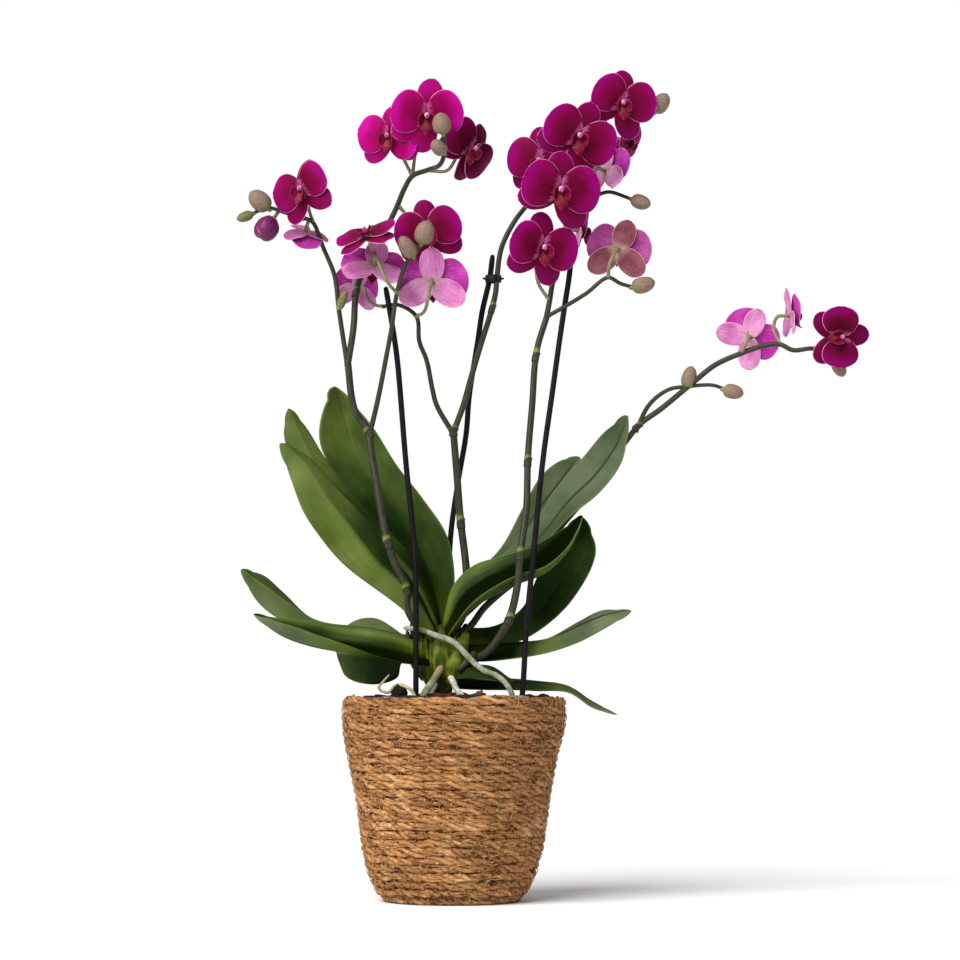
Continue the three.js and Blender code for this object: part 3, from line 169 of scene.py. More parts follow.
# How far the midrib stands out to the front, 0 where FLAPS tells it, and the left and the right edge up
# to the tip
LEAVES = {
    "leaf_left_1": (6, [(-15, -9, 174), (-32, -16, 194), (-73, -28, 226), (-90, -32, 245),
        (-101, -34, 261), (-110, -34, 285), (-118, -32, 309)], [(-12, -4, 184), (-26, -5, 212),
        (-39, -5, 230), (-58, -8, 256), (-77, -12, 276), (-98, -20, 300), (-118, -32, 309)]),
    "leaf_left_2": (5, [(-14, 1, 182), (-32, 3, 210), (-60, 2, 236), (-90, 2, 270), (-108, 2, 295),
        (-115, 2, 316), (-112, 2, 333)], [(-9, 6, 188), (-28, 11, 232), (-51, 13, 257), (-77, 12, 284),
        (-89, 11, 302), (-100, 9, 320), (-112, 2, 333)]),
    "leaf_left_3": (-10, [(-12, 8, 180), (-36, 18, 238), (-65, 22, 270), (-86, 22, 298), (-91, 22, 314),
        (-88, 22, 333), (-80, 22, 348)], [(-3, 5, 182), (1, 13, 218), (-4, 19, 246), (-21, 22, 272),
        (-38, 25, 294), (-56, 26, 322), (-80, 22, 348)]),
    "leaf_left_4": (4, [(-16, 2, 168), (-60, 3, 174), (-95, 2, 181), (-119, 2, 191), (-134, 4, 203),
        (-144, 8, 223)], [(-16, 12, 176), (-60, 26, 184), (-94, 29, 188), (-114, 24, 207),
        (-129, 16, 219), (-144, 8, 223)]),
    "leaf_left_5": (0, [(-16, -13, 158), (-47, -32, 162), (-72, -42, 167), (-97, -46, 172),
        (-116, -40, 179), (-135, -26, 193)], [(-18, -3, 173), (-51, -7, 182), (-73, -8, 184),
        (-94, -11, 188), (-117, -16, 190), (-135, -26, 193)]),
    "leaf_left_6": (4, [(-15, 6, 158), (-34, 20, 160), (-38, 25, 150), (-56, 36, 145.5), (-73, 48, 152),
        (-77, 56, 170)], [(-16, 13, 162), (-38, 30, 182), (-52, 39, 190), (-65, 47, 189), (-74, 52, 182),
        (-77, 56, 170)]),
    "leaf_right_1": (-4.5, [(-5, 4, 188), (19, 10, 220), (50, 14, 249), (73, 15, 282), (89, 14, 300),
        (104, 10, 318), (119, 4, 328)], [(-1, 1, 182), (32, 1, 212), (59, 1, 238), (78, 0, 258),
        (100, 0, 276), (115, 1, 298), (119, 4, 328)]),
    "leaf_right_2": (-4.5, [(-4, 9, 186), (14, 19, 218), (33, 28, 239), (48, 31, 266), (60, 33, 287),
        (72, 34, 297), (86, 32, 300)], [(0, 11, 180), (28, 20, 217), (48, 24, 240), (64, 26, 258),
        (78, 27, 273), (86, 29, 288), (86, 32, 300)]),
    "leaf_right_3": (0, [(-7, -3, 186), (0, -3, 212), (14, -3, 226), (32, -4, 232), (54, -6, 239),
        (75, -8, 251), (88, -12, 260)], [(-4, -9, 178), (12, -14, 196), (28, -18, 206), (44, -19, 214),
        (62, -19, 221), (79, -17, 238), (88, -12, 260)]),
    "leaf_right_4": (-5, [(2, 9, 184), (28, 14, 185), (47, 18, 197), (57, 21, 218), (69, 22, 245),
        (88, 22, 259)], [(4, 9, 172), (36, 14, 172), (57, 15, 181), (81, 16, 203), (97, 17, 236),
        (88, 22, 259)]),
    "leaf_right_5": (3, [(2, 4, 172), (39, 5, 173.5), (64, 8, 176), (86, 12, 188.5), (102, 12, 195),
        (121, 4, 195)], [(3, -8, 161), (33, -14, 162), (56, -17, 165), (84, -15, 174), (103, -8, 183),
        (121, 4, 195)]),
    "leaf_right_6": (2, [(0, 14, 150), (30, 22, 149), (54, 26, 148), (76, 24, 144), (94, 18, 134),
        (111, 10, 125)], [(0, 5, 143), (30, 3, 141.5), (54, 3, 141.5), (77, 5, 140.5), (94, 7, 130),
        (111, 10, 125)]),
    "leaf_right_7": (2, [(-2, -6, 157), (12, -11, 159), (27, -14, 157), (42, -21, 147)], [(-3, -10, 148),
        (11, -21, 150), (25, -26, 148), (42, -21, 147)]),
}

BLOOMS = {
    "bloom_top_left_1": Bloom("spike_left", [(-28, -2, 493), (-25, 0, 514)], (-18, -26, 535),
        (0, -1, -0.42), (0.05, 0, 1), 1, angles=(16, 84, 170, 214, 262), look="bright_tepal"),
    "bloom_top_left_2": Bloom("spike_left", [(-28, -2, 493), (-34, 4, 505)], (-44, -8, 520),
        (-0.35, -0.9, -0.1), (0.05, 0, 1), 0.88, angles=(-10, 82, 170, 222, 325), look="bright_tepal"),
    # Its tepals are painted darker, as painted shade
    "bloom_top_left_3": Bloom("spike_left", [(-18, -8, 497), (-4, -6, 497)], (12, -12, 512),
        (0.6, -0.72, -0.3), (0.45, 0, 0.9), 0.92, angles=(-18, 66, 165, 205, 300), bend=-0.5,
        look="painted_shade_tepal"),
    "bloom_far_left_1": Bloom("spike_left", [(-96, -14, 461), (-99, -14, 472)], (-103, -32, 483),
        (-0.5, -0.85, 0), (0.15, 0, 1), 0.88, angles=(44, 84, 192, 252, 345)),
    "bloom_far_left_2": Bloom("spike_left", [(-102, -16, 464), (-105, -11, 463)], (-101, -10, 454),
        (-0.2, 0.45, -0.85), (0.9, 0, -0.3), 0.68, bend=0.5),
    "bloom_far_left_3": Bloom("spike_left", [(-116, -20, 468), (-118, -20, 469)], (-124, -22, 462),
        (-0.35, -0.4, -0.6), (0, -1, 0), 0.5, look="opening"),
    "bloom_mid_left_1": Bloom("spike_left", [(-51, 6, 445), (-54, -18, 440)], (-59, -38, 452),
        (-0.35, -0.45, 0.8), (0.1, 0.8, 0.5), 0.84),
    "bloom_mid_left_2": Bloom("spike_left", [(-38, 4, 473), (-26, 6, 460)], (-17, -18, 454),
        (0.05, -1, -0.1), (-0.2, 0, 1), 0.9),
    "bloom_mid_left_3": Bloom("spike_left", [(-38, -34, 412), (-45, -40, 420)], (-54, -24, 431),
        (-0.1, 0.8, -0.6), (0.1, 0.5, 0.8), 0.88),
    "bloom_mid_left_4": Bloom("spike_middle", [(-47, -2, 403), (-53, 2, 404), (-58, 6, 408)],
        (-66, 20, 416), (-0.5, 0.8, 0.1), (0.2, 0, 1), 0.7),
    "bloom_mid_left_5": Bloom("spike_middle", [(-25, -6, 396), (-19, -22, 401)], (-14, -16, 419),
        (0.05, 1, -0.1), (0, 0, 1), 0.96, angles=(22, 90, 167, 212, 328)),
    "bloom_right_1": Bloom("spike_middle", [(104, 14, 532), (110, 10, 538)], (116, -14, 543),
        (0.2, -1, -0.15), (0, 0, 1), 0.92, angles=(5, 88, 145, 192, 288)),
    "bloom_right_2": Bloom("spike_middle", [(77, 16, 504), (82, 4, 516)], (86, -28, 520),
        (0.15, -1, -0.15), (0.1, 0, 1), 1.02, angles=(-10, 72, 150, 190, 285)),
    "bloom_right_3": Bloom("spike_middle", [(49, 6, 471), (54, 10, 490)], (60, -6, 503),
        (-0.35, -0.92, -0.15), (0, 0, 1), 0.93),
    "bloom_right_4": Bloom("spike_right", [(80, 1, 457), (72, -8, 466), (73, -26, 480)], (73, -46, 483),
        (0.2, -1, -0.2), (0, 0, 1), 1.06, angles=(5, 90, 160, 192, 302)),
    "bloom_right_5": Bloom("spike_right", [(66, -14, 407), (58, -16, 420)], (61, -36, 443),
        (0.35, -1, -0.2), (-0.05, 0, 1), 0.98, angles=(0, 92, 160, 206, 288)),
    "bloom_right_6": Bloom("spike_right", [(94, 9, 477), (94, -2, 484)], (105, 2, 496), (0.7, 0.65, -0.2),
        (-0.1, 0.1, 1), 0.82),
    "bloom_right_7": Bloom("spike_middle", [(104, 14, 532), (106, 20, 526)], (120, 18, 517),
        (0.85, -0.3, -0.35), (0.2, 0, 1), 0.76),
    "bloom_right_8": Bloom("spike_right", [(84, 5, 468), (76, 20, 466)], (87, 30, 455),
        (0.97, 0.12, -0.1), (0, 0.2, 1), 0.84),
    "bloom_right_9": Bloom("spike_right", [(106, -20, 423), (107, -27, 432)], (113, -12, 442),
        (0.15, 1, 0.05), (0.17, 0, 1), 0.88, angles=(19, 104, 168, 216, 315), look="cream_tepal"),
    "bloom_far_right_1": Bloom("spike_far_right", [(197, 0, 371), (200, -4, 378)], (202, 14, 382),
        (0.05, 1, 0.1), (0.64, 0, 0.77), 0.83, angles=(30, 73, 158, 230, 330)),
    "bloom_far_right_2": Bloom("spike_far_right", [(223, -4, 377), (219, 2, 388)], (231, 12, 397),
        (0.95, 0.15, 0.1), (0, 0, 1), 0.76),
    # Its tepals are painted darker, as painted shade
    "bloom_far_right_3": Bloom("spike_far_right", [(246, -8, 374), (256, -4, 379)], (264, -20, 382),
        (0.1, -1, -0.1), (0.98, 0, 0.15), 0.84, angles=(-9, 91, 171, 218, 308), look="painted_shade_tepal"),
}

SPIKES = {  # arms with their radii and ways, nodes, and buds from foot to tip with their radii
    "spike_left": (
        [
            ((2.8, 2.7, 2.4), [(-12, -5, 182), (-24, -11, 186), (-31, -15, 198), (-32, -17, 212),
                (-39, -20, 226), (-45, -20, 244), (-50, -18, 270), (-56, -14, 306), (-58, -12, 318),
                (-67, -12, 332), (-72, -12, 366)]),
            ((2.3, 2, 1.7, 1.5), [(-72, -12, 362), (-68, -12, 388), (-66, -6, 414), (-60, 2, 430),
                (-51, 6, 445), (-45, 6, 458), (-38, 4, 473), (-34, 1, 483), (-28, -2, 493),
                (-18, -8, 497), (-9, -24, 501), (-6, -34, 509), (-6, -42, 518), (-7, -45, 524)]),
            ((1.7, 1.4, 1.2), [(-72, -12, 362), (-78, -12, 401), (-81, -12, 424), (-89, -12, 444),
                (-96, -14, 461), (-102, -16, 464), (-116, -20, 468), (-126, -22, 471), (-138, -24, 467)]),
            ((1.8, 1.5, 1.3), [(-57, -12, 314), (-51, -22, 340), (-46, -29, 366), (-42, -32, 388),
                (-38, -34, 414), (-32, -37, 433), (-26, -40, 440), (-21, -43, 449)]),
        ],
        [(-32, -17, 212), (-45, -20, 244), (-58, -12, 318), (-66, -6, 414)],
        [((-7, -45, 522), (-9, -47, 537), 6.6), ((-6, -36, 509), (-14, -44, 517), 5.4),
            ((-126, -22, 470), (-139, -26, 482), 7), ((-137, -24, 467), (-148, -27, 463), 3.7),
            ((-22, -42, 446), (-17, -47, 462), 6.8), ((-27, -39, 437), (-36, -46, 451), 5.8),
            ((-78, -12, 401), (-73, -17, 414), 3.2)],
    ),
    "spike_middle": (
        [
            ((2.7, 2.6, 2.4), [(-4, 2, 178), (6, 7, 190), (9, 8, 206), (9, 9, 224), (5, 8, 258),
                (3, 6, 284), (0, 4, 320)]),
            ((2.1, 1.9, 1.6, 1.3), [(0, 4, 316), (7, 4, 335), (12, 3, 353), (19, 2, 377), (25, 2, 396),
                (29, 2, 412), (30, 2, 423), (33, 1, 443), (41, 2, 460), (49, 6, 471), (63, 12, 487),
                (77, 16, 504), (90, 16, 518), (104, 14, 532), (120, 10, 537), (138, 2, 541)]),
            ((1.8, 1.6, 1.3), [(0, 4, 316), (-11, 2, 335), (-14, 0, 346), (-18, -2, 366), (-23, -4, 379),
                (-25, -6, 396), (-37, -5, 404), (-48, -2, 403)]),
        ],
        [(5, 8, 258), (0, 4, 320), (27, 2, 404)],
        [((138, 1, 537), (147, -3, 550), 6.2)],
    ),
    "spike_right": (
        [
            ((2.8, 2.6, 2.3, 2.1), [(-2, -4, 166), (12, -9, 162), (24, -16, 168), (33, -22, 180),
                (39, -25, 192), (44, -27, 214), (46, -28, 236), (50, -24, 266), (51, -20, 299),
                (54, -18, 336), (57, -16, 372), (64, -14, 396)]),
            ((1.9, 1.7, 1.4, 1.2), [(63, -14, 392), (66, -14, 407), (68, -12, 419), (74, -5, 438),
                (80, 1, 457), (84, 5, 468), (94, 9, 477), (106, 8, 482), (117, 5, 479), (124, 2, 476)]),
            ((1.5, 1.3), [(64, -14, 396), (78, -16, 404), (91, -18, 412), (106, -20, 423),
                (114, -20, 419), (124, -20, 416)]),
        ],
        [(39, -25, 192), (46, -28, 236), (51, -20, 299), (57, -16, 372)],
        [((122, 3, 477), (135, -2, 473), 5.4), ((122, -20, 416), (138, -21, 420), 6)],
    ),
    "spike_far_right": (
        [
            ((2.4, 2.2, 2, 1.8, 1.5), [(-2, 3, 176), (11, 4, 184), (21, 6, 197), (33, 8, 208),
                (43, 12, 216), (58, 19, 232), (73, 24, 252), (88, 26, 270), (100, 26, 288),
                (118, 22, 311), (127, 20, 322), (142, 16, 333), (165, 8, 352), (179, 4, 363),
                (197, 0, 371), (212, -2, 376), (223, -4, 377), (232, -6, 373), (246, -8, 374),
                (258, -5, 368)]),
            ((1.6, 1.4, 1.2), [(125, 20, 319), (134, 16, 336), (147, 12, 346), (159, 10, 348),
                (177, 8, 349), (186, 7, 346)]),
        ],
        [(127, 20, 322)],
        [((159, 10, 347), (163, 10, 362), 5.4), ((184, 7, 346), (198, 6, 343), 5.4),
            ((260, -5, 367.5), (266.5, -4, 355), 4.9)],
    ),
}
# Curves


def seen(places):
    """Places that line up from the front viewpoint, put at their true depth: one place, or a list."""
    x, y, z = np.asarray(places, float).T
    nearness = 1 + y / SIGHT_DISTANCE
    return np.stack([SIGHT_X + (x - SIGHT_X) * nearness, y, SIGHT_Z + (z - SIGHT_Z) * nearness], axis=-1)


def along(stops, t):
    return np.interp(np.asarray(t) * (len(stops) - 1), np.arange(len(stops)), stops)


def circle(count):
    """Evenly spaced angles once round."""
    return np.linspace(0, FULL_TURN, count, endpoint=False)


def polar(radius, angle, height):
    return np.stack([radius * np.cos(angle), radius * np.sin(angle), height], axis=-1)


def unit(vectors):
    vectors = np.asarray(vectors, float)
    length = np.linalg.norm(vectors, axis=-1, keepdims=True)
    return vectors / np.where(length < 1e-9, 1, length)


def heading(path):
    return unit(np.gradient(path, axis=0))


def distance_run(path):
    return np.concatenate([[0], np.cumsum(np.linalg.norm(np.diff(path, axis=0), axis=1))])


def spline(points, t):
    """Places at t, from 0 to 1 over the points, on a centripetal Catmull-Rom curve."""
    points = np.asarray(points, float)
    line = np.vstack([2 * points[0] - points[1], points, 2 * points[-1] - points[-2]])
    place = np.clip(np.atleast_1d(t), 0, 1) * (len(points) - 1)
    low = np.minimum(place.astype(int), len(points) - 2)
    w = (place - low)[:, None]
    p0, p1, p2, p3 = (line[low + k] for k in range(4))
    spans = ((p0, p1), (p1, p2), (p2, p3))
    d0, d1, d2 = (np.sqrt(np.linalg.norm(b - a, axis=1))[:, None] for a, b in spans)
    start = ((p1 - p0) / d0 - (p2 - p0) / (d0 + d1) + (p2 - p1) / d1) * d1
    end = ((p2 - p1) / d1 - (p3 - p1) / (d1 + d2) + (p3 - p2) / d2) * d1
    bend = -3 * p1 + 3 * p2 - 2 * start - end
    twist = 2 * p1 - 2 * p2 + start + end
    return p1 + start * w + bend * w ** 2 + twist * w ** 3


def route(points, step):
    """Evenly spaced places on the curve through points, with the t of each."""
    fine = np.linspace(0, 1, 24 * (len(points) - 1) + 1)
    run = distance_run(spline(points, fine))
    count = max(int(run[-1] / step) + 1, 3)
    t = np.interp(np.linspace(0, run[-1], count), run, fine)
    return spline(points, t), t


def sides_on(path):
    """Directions to two sides of a path, turning as little as they can along it."""
    ahead = heading(path)
    helper = np.array([0, 0, 1.0]) if abs(ahead[0][2]) < 0.9 else np.array([1.0, 0, 0])
    side = unit(np.cross(helper, ahead[0]))
    sides = []
    for direction in ahead:
        side = unit(side - direction * np.dot(side, direction))
        sides.append(side)
    sides = np.array(sides)
    return sides, np.cross(ahead, sides)


def wave(seed, scale, places):
    """Smooth noise from -1 to 1 at places."""
    return np.array([noise.noise(Vector(place) * scale + Vector((seed, 0, 0))) for place in places])


# Meshes


def add_object(name, data):
    made = bpy.data.objects.new(name, data)
    bpy.context.scene.collection.objects.link(made)
    return made


class Shape:
    """Points and faces gathered for one mesh. mark is four numbers at each point that its material
    reads, and kind is the number of the face's material."""

    def __init__(self):
        self.points = []
        self.marks = []
        self.faces = []
        self.kinds = []
        self.count = 0

    def add(self, points, marks, faces, kind=0):
        points = np.asarray(points, float).reshape(-1, 3)
        marks = np.asarray(marks, float).reshape(-1, 4)
        self.points.append(points)
        self.marks.append(np.broadcast_to(marks, (len(points), 4)).copy())
        self.faces += [tuple(number + self.count for number in face) for face in faces]
        self.kinds += [kind] * len(faces)
        self.count += len(points)

    def add_closed(self, grid, marks, ends, end_marks, kind):
        """Rings of points, of which the first and the last are closed round the two ends."""
        points = np.vstack([grid.reshape(-1, 3), ends])
        marks = np.vstack([marks.reshape(-1, 4), end_marks])
        self.add(points, marks, closed_faces(*grid.shape[:2]), kind)

    def build(self, name, node, looks):
        """The piece of this name, which replaces a node. looks are the names of its materials."""
        mesh = bpy.data.meshes.new(name)
        mesh.from_pydata((np.vstack(self.points) * MM).tolist(), [], self.faces)
        mark = mesh.attributes.new("mark", "FLOAT_COLOR", "POINT")
        mark.data.foreach_set("color", np.vstack(self.marks).ravel())
        for look in looks:
            mesh.materials.append(MATERIALS[look])
        mesh.polygons.foreach_set("material_index", self.kinds)
        mesh.polygons.foreach_set("use_smooth", [True] * len(mesh.polygons))
        mesh.update()
        piece = add_object(name, mesh)
        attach(piece, BODY)
        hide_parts(node)


def grid_marks(grid, *values):
    """The marks of a grid of points, from up to four numbers, columns or rows of numbers, or grids."""
    marks = np.zeros((*grid.shape[:2], 4))
    for number, value in enumerate(values):
        marks[..., number] = value
    return marks


def grid_faces(rows, columns, closed=False):
    """Quads between rows of points, where closed joins the last column to the first."""
    strips = columns if closed else columns - 1
    row, column = np.meshgrid(np.arange(rows - 1), np.arange(strips), indexing="ij")
    a = (row * columns + column).ravel()
    b = (row * columns + (column + 1) % columns).ravel()
    return np.stack([a, b, b + columns, a + columns], axis=1).tolist()


def closed_faces(rows, columns):
    """Quads between rings of points, and triangles from the first and the last ring to two points
    that come after them."""
    low = rows * columns
    faces = grid_faces(rows, columns, closed=True)
    for i in range(columns):
        after = (i + 1) % columns
        faces.append((i, low, after))
        faces.append((low - columns + i, low - columns + after, low + 1))
    return faces


def rings(path, radii, sides):
    """Rings of points round a path. radii has a row for each place on it."""
    side, other = sides_on(path)
    angle = circle(sides)
    out = side[:, None] * np.cos(angle)[None, :, None] + other[:, None] * np.sin(angle)[None, :, None]
    return path[:, None] + out * radii[..., None]


def tube(shape, path, radii, sides, tone=0.0, kind=0):
    """A tube with closed ends. Its marks are the length along it, the direction round it and a tone."""
    path = np.asarray(path, float)
    radii = np.broadcast_to(np.asarray(radii, float), (len(path),))
    tone = np.broadcast_to(tone, (len(path),))
    grid = rings(path, radii[:, None], sides)
    angle = circle(sides)
    run = distance_run(path)
    marks = grid_marks(grid, run[:, None], np.cos(angle), np.sin(angle), tone[:, None])
    ahead = heading(path)
    ends = [path[0] - ahead[0] * radii[0] * TUBE_TIP, path[-1] + ahead[-1] * radii[-1] * TUBE_TIP]
    end_marks = [[run[0], 0, 0, tone[0]], [run[-1], 0, 0, tone[-1]]]
    shape.add_closed(grid, marks, ends, end_marks, kind)


def egg(shape, base, tip, radius, tone=0.0, kind=0, seams=3, sides=18, bands=14, twist=0.0):
    """A bud: an egg whose sepals meet in seams. Its marks are its height, seam, way round and tone."""
    base, tip = np.asarray(base, float), np.asarray(tip, float)
    t = np.linspace(0, 1, bands)
    profile = np.sqrt(np.maximum(1 - np.abs(2 * t ** 0.92 - 1) ** 2.2, 0)) * (1 - 0.1 * t)
    profile[[0, -1]] = [0.2, 0.12]
    angle = circle(sides)
    seam = np.abs(np.sin(seams * (angle + twist) / 2))
    dent = 1 - 0.09 * np.exp(-(seam / 0.22) ** 2)[None, :] * np.sin(math.pi * t)[:, None]
    grid = rings(base + (tip - base) * t[:, None], radius * profile[:, None] * dent, sides)
    marks = grid_marks(grid, t[:, None], seam, np.cos(angle), tone)
    shape.add_closed(grid, marks, [base, tip], [[0, 1, 0, tone], [1, 1, 0, tone]], kind)


def sheet(rows, columns):
    """Shares from 0 to 1 along a sheet, in a column, and from -1 to 1 across it."""
    return np.linspace(0, 1, rows)[:, None], np.linspace(-1, 1, columns)


def grid_normals(grid):
    return unit(np.cross(np.gradient(grid, axis=0), np.gradient(grid, axis=1)))


def two_faced(shape, grid, thickness, marks, kind=0):
    """A sheet with a front and a back. The third of its marks is 1 more on the front."""
    rows, columns = grid.shape[:2]
    count = rows * columns
    half = np.broadcast_to(thickness, (rows, columns))[..., None] / 2
    lift = grid_normals(grid) * half
    front_marks = marks.copy()
    front_marks[..., 2] += 1
    quads = grid_faces(rows, columns)
    faces = [(a, d, c, b) for a, b, c, d in quads]
    faces += [(a + count, b + count, c + count, d + count) for a, b, c, d in quads]
    rim = [*range(columns), *range(2 * columns - 1, count, columns)]
    rim += [*range(count - 2, count - columns - 1, -1), *range(count - 2 * columns, 0, -columns)]
    faces += [(a, b, b + count, a + count) for a, b in zip(rim, rim[1:] + rim[:1])]
    shape.add(np.stack([grid + lift, grid - lift]), np.stack([front_marks, marks]), faces, kind)


def turned(shape, profile, sides, wobble=None, kind=0):
    """A closed profile of (radius, height) turned round the basket's axis."""
    profile = np.asarray(profile, float)
    angle = circle(sides)
    radius = np.maximum(profile[:, 0], 0.01)[:, None] * np.ones(sides)
    height = profile[:, 1][:, None] * np.ones(sides)
    if wobble is not None:
        radius = radius + wobble(angle[None, :], height)
    shape.add(polar(radius, angle, height), [0, 0, 0, 0], grid_faces(len(profile), sides, closed=True), kind)


# Materials


class Value:
    """What a node gives, with which sums can be written."""

    def __init__(self, paint, socket):
        self.paint = paint
        self.socket = socket

    def __add__(self, other):
        return self.paint.sum("ADD", self, other)

    def __sub__(self, other):
        return self.paint.sum("SUBTRACT", self, other)

    def __mul__(self, other):
        return self.paint.sum("MULTIPLY", self, other)

    def __mod__(self, other):
        return self.paint.sum("MODULO", self, other)

    def __abs__(self):
        return self.paint.sum("ABSOLUTE", self, 0)


class Paint:
    """A material under way: its nodes give colour, roughness and relief to one Principled shader."""

    def __init__(self, name, **constants):
        self.material = bpy.data.materials.new(name)
        self.material.use_nodes = True
        self.tree = self.material.node_tree
        self.shader = self.tree.nodes["Principled BSDF"]
        for socket, value in constants.items():
            self.shader.inputs[socket.replace("_", " ")].default_value = value
        marks = self.node("Attribute", {}, attribute_name="mark").outputs
        split = self.node("SeparateXYZ", {0: Value(self, marks["Vector"])}).outputs
        self.mark = [Value(self, socket) for socket in (*split, marks["Alpha"])]
        self.place = Value(self, self.node("TexCoord", {}).outputs["Object"])
        self.place = self.scaled([1 / MM] * 3)

    def node(self, kind, inputs, **settings):
        made = self.tree.nodes.new("ShaderNode" + kind)
        for setting, value in settings.items():
            setattr(made, setting, value)
        for key, value in inputs.items():
            socket = made.inputs[key]
            if isinstance(value, Value):
                self.tree.links.new(value.socket, socket)
            else:
                socket.default_value = (*value, 1) if socket.type == "RGBA" else value
        return made

    def value(self, kind, inputs, output=0, **settings):
        return Value(self, self.node(kind, inputs, **settings).outputs[output])

    def sum(self, operation, a, b):
        return self.value("Math", {0: a, 1: b}, operation=operation)

    def vector(self, x, y, z=0.0):
        return self.value("CombineXYZ", {0: x, 1: y, 2: z})

    def noise(self, vector, scale, detail=3.0, roughness=0.5):
        inputs = {"Vector": vector, "Scale": scale, "Detail": detail, "Roughness": roughness}
        return self.value("TexNoise", inputs)

    def scaled(self, factors):
        return self.value("VectorMath", {0: self.place, 1: factors}, operation="MULTIPLY")

    def ramp(self, value, stops):
        made = self.node("ValToRGB", {0: value})
        elements = made.color_ramp.elements
        while len(elements) < len(stops):
            elements.new(0.5)
        for element, (position, color) in zip(elements, stops):
            element.position = position
            element.color = (*color, 1)
        return Value(self, made.outputs[0])

    def fade(self, value, low, high):
        """0 where value is at low, 1 where it is at high, and smooth between."""
        inputs = {"Value": value, "From Min": low, "From Max": high}
        return self.value("MapRange", inputs, interpolation_type="SMOOTHSTEP")

    def mix(self, share, a, b):
        return self.value("Mix", {0: share, 6: a, 7: b}, output=2, data_type="RGBA")

    def link(self, value, socket):
        self.tree.links.new(value.socket, self.shader.inputs[socket])

    def finish(self, color, roughness=None, relief=None, depth=0.2, strength=0.5):
        """relief is a height from 0 to 1, and depth is how deep it is in millimetres."""
        self.link(color, "Base Color")
        if roughness is not None:
            self.link(roughness, "Roughness")
        if relief is not None:
            inputs = {"Height": relief, "Distance": depth * MM, "Strength": strength}
            self.link(self.value("Bump", inputs), "Normal")
        return self.material


def seagrass():
    paint = Paint("seagrass", Specular_IOR_Level=0.08)
    run, round_x, round_y, tone = paint.mark
    streaks = paint.noise(paint.vector(run * 0.11, round_x, round_y), 4.2, 4, 0.7)
    patches = paint.noise(paint.vector(run * 0.05, round_x * 1.6, round_y), 1.3, 2)
    blotches = paint.noise(paint.place, 0.06)
    level_grass = paint.scaled((0.2, 0.2, 1.0))
    dashes = paint.noise(level_grass, 0.85, 3, 0.6)
    value = streaks * 0.75 + patches * 0.3 + blotches * 0.45 + dashes * 0.45 - 0.5
    # The tone darkens the ramp: painted shade in the crevices between strands, and a random shade of each
    # length of strand
    color = paint.ramp(value - tone * 0.22, [
        (0.07, (0.03, 0.011, 0.003)), (0.26, (0.17, 0.064, 0.018)), (0.41, (0.34, 0.152, 0.05)),
        (0.57, (0.53, 0.265, 0.098)), (0.74, (0.76, 0.5, 0.27)),
    ])
    reddish = paint.fade(paint.noise(paint.place, 0.09, 3, 0.6), 0.52, 0.66)
    color = paint.mix(reddish * 0.4, color, (0.36, 0.135, 0.055))
    greenish = paint.fade(paint.noise(paint.place, 0.11, 3, 0.6), 0.54, 0.66)
    color = paint.mix(greenish * 0.4, color, (0.22, 0.17, 0.07))
    # Painted shade: near-black dashes, more of them where the tone is darker, mostly in the crevices between
    # the ropes
    gaps = paint.fade(paint.noise(level_grass, 1.15, 2) + tone * 0.13, 0.62, 0.7)
    color = paint.mix(gaps * 0.85, color, (0.035, 0.012, 0.004))
    flecks = paint.fade(paint.noise(paint.scaled((0.3, 0.3, 1.1)), 0.9, 2), 0.66, 0.74)
    color = paint.mix(flecks * 0.6, color, (0.72, 0.5, 0.32))
    return paint.finish(color, streaks * 0.3 + 0.5, value, depth=0.7, strength=0.9)


def straw():
    paint = Paint("straw", Specular_IOR_Level=0.3)
    value = paint.noise(paint.place, 0.35, 2)
    stops = [(0.28, (0.2, 0.085, 0.03)), (0.5, (0.42, 0.2, 0.075)), (0.72, (0.66, 0.42, 0.22))]
    return paint.finish(paint.ramp(value, stops), value + 0.2, value, depth=0.1)


# The backing between the ropes: dark brown, as painted shade in the gaps
def painted_shade_backing():
    paint = Paint("painted_shade_backing", Roughness=0.9)
    value = paint.noise(paint.place, 0.5)
    stops = [(0.3, (0.06, 0.024, 0.009)), (0.7, (0.16, 0.07, 0.026))]
    return paint.finish(paint.ramp(value, stops), None, value)


def film():
    paint = Paint("liner_film", Roughness=0.22, Transmission_Weight=0.75, IOR=1.25)
    value = paint.noise(paint.place, 0.12)
    color = paint.ramp(value, [(0.3, (0.72, 0.74, 0.72)), (0.7, (0.9, 0.92, 0.9))])
    return paint.finish(color, None, value, depth=0.6)


def black_plastic(name, color, roughness):
    paint = Paint(name, Specular_IOR_Level=0.08)
    grain = paint.noise(paint.place, 2.2)
    scuffs = paint.noise(paint.place, 0.14, 4, 0.7)
    lighter = tuple(2 * value + 0.002 for value in color)
    tint = paint.ramp(scuffs, [(0.35, color), (0.75, lighter)])
    return paint.finish(tint, scuffs * 0.25 + roughness, grain, depth=0.05, strength=0.4)


def bark_material():
    paint = Paint("pine_bark", Specular_IOR_Level=0.2)
    layers = paint.noise(paint.scaled((1, 1, 3.5)), 0.22, 5, 0.7)
    color = paint.ramp(layers * 0.7 + paint.mark[3] * 0.35, [
        (0.25, (0.012, 0.006, 0.004)), (0.5, (0.1, 0.032, 0.013)), (0.7, (0.26, 0.08, 0.035)),
        (0.9, (0.38, 0.2, 0.1)),
    ])
    return paint.finish(color, paint.fade(layers, -1.2, 1.0), layers, depth=1.2, strength=0.9)


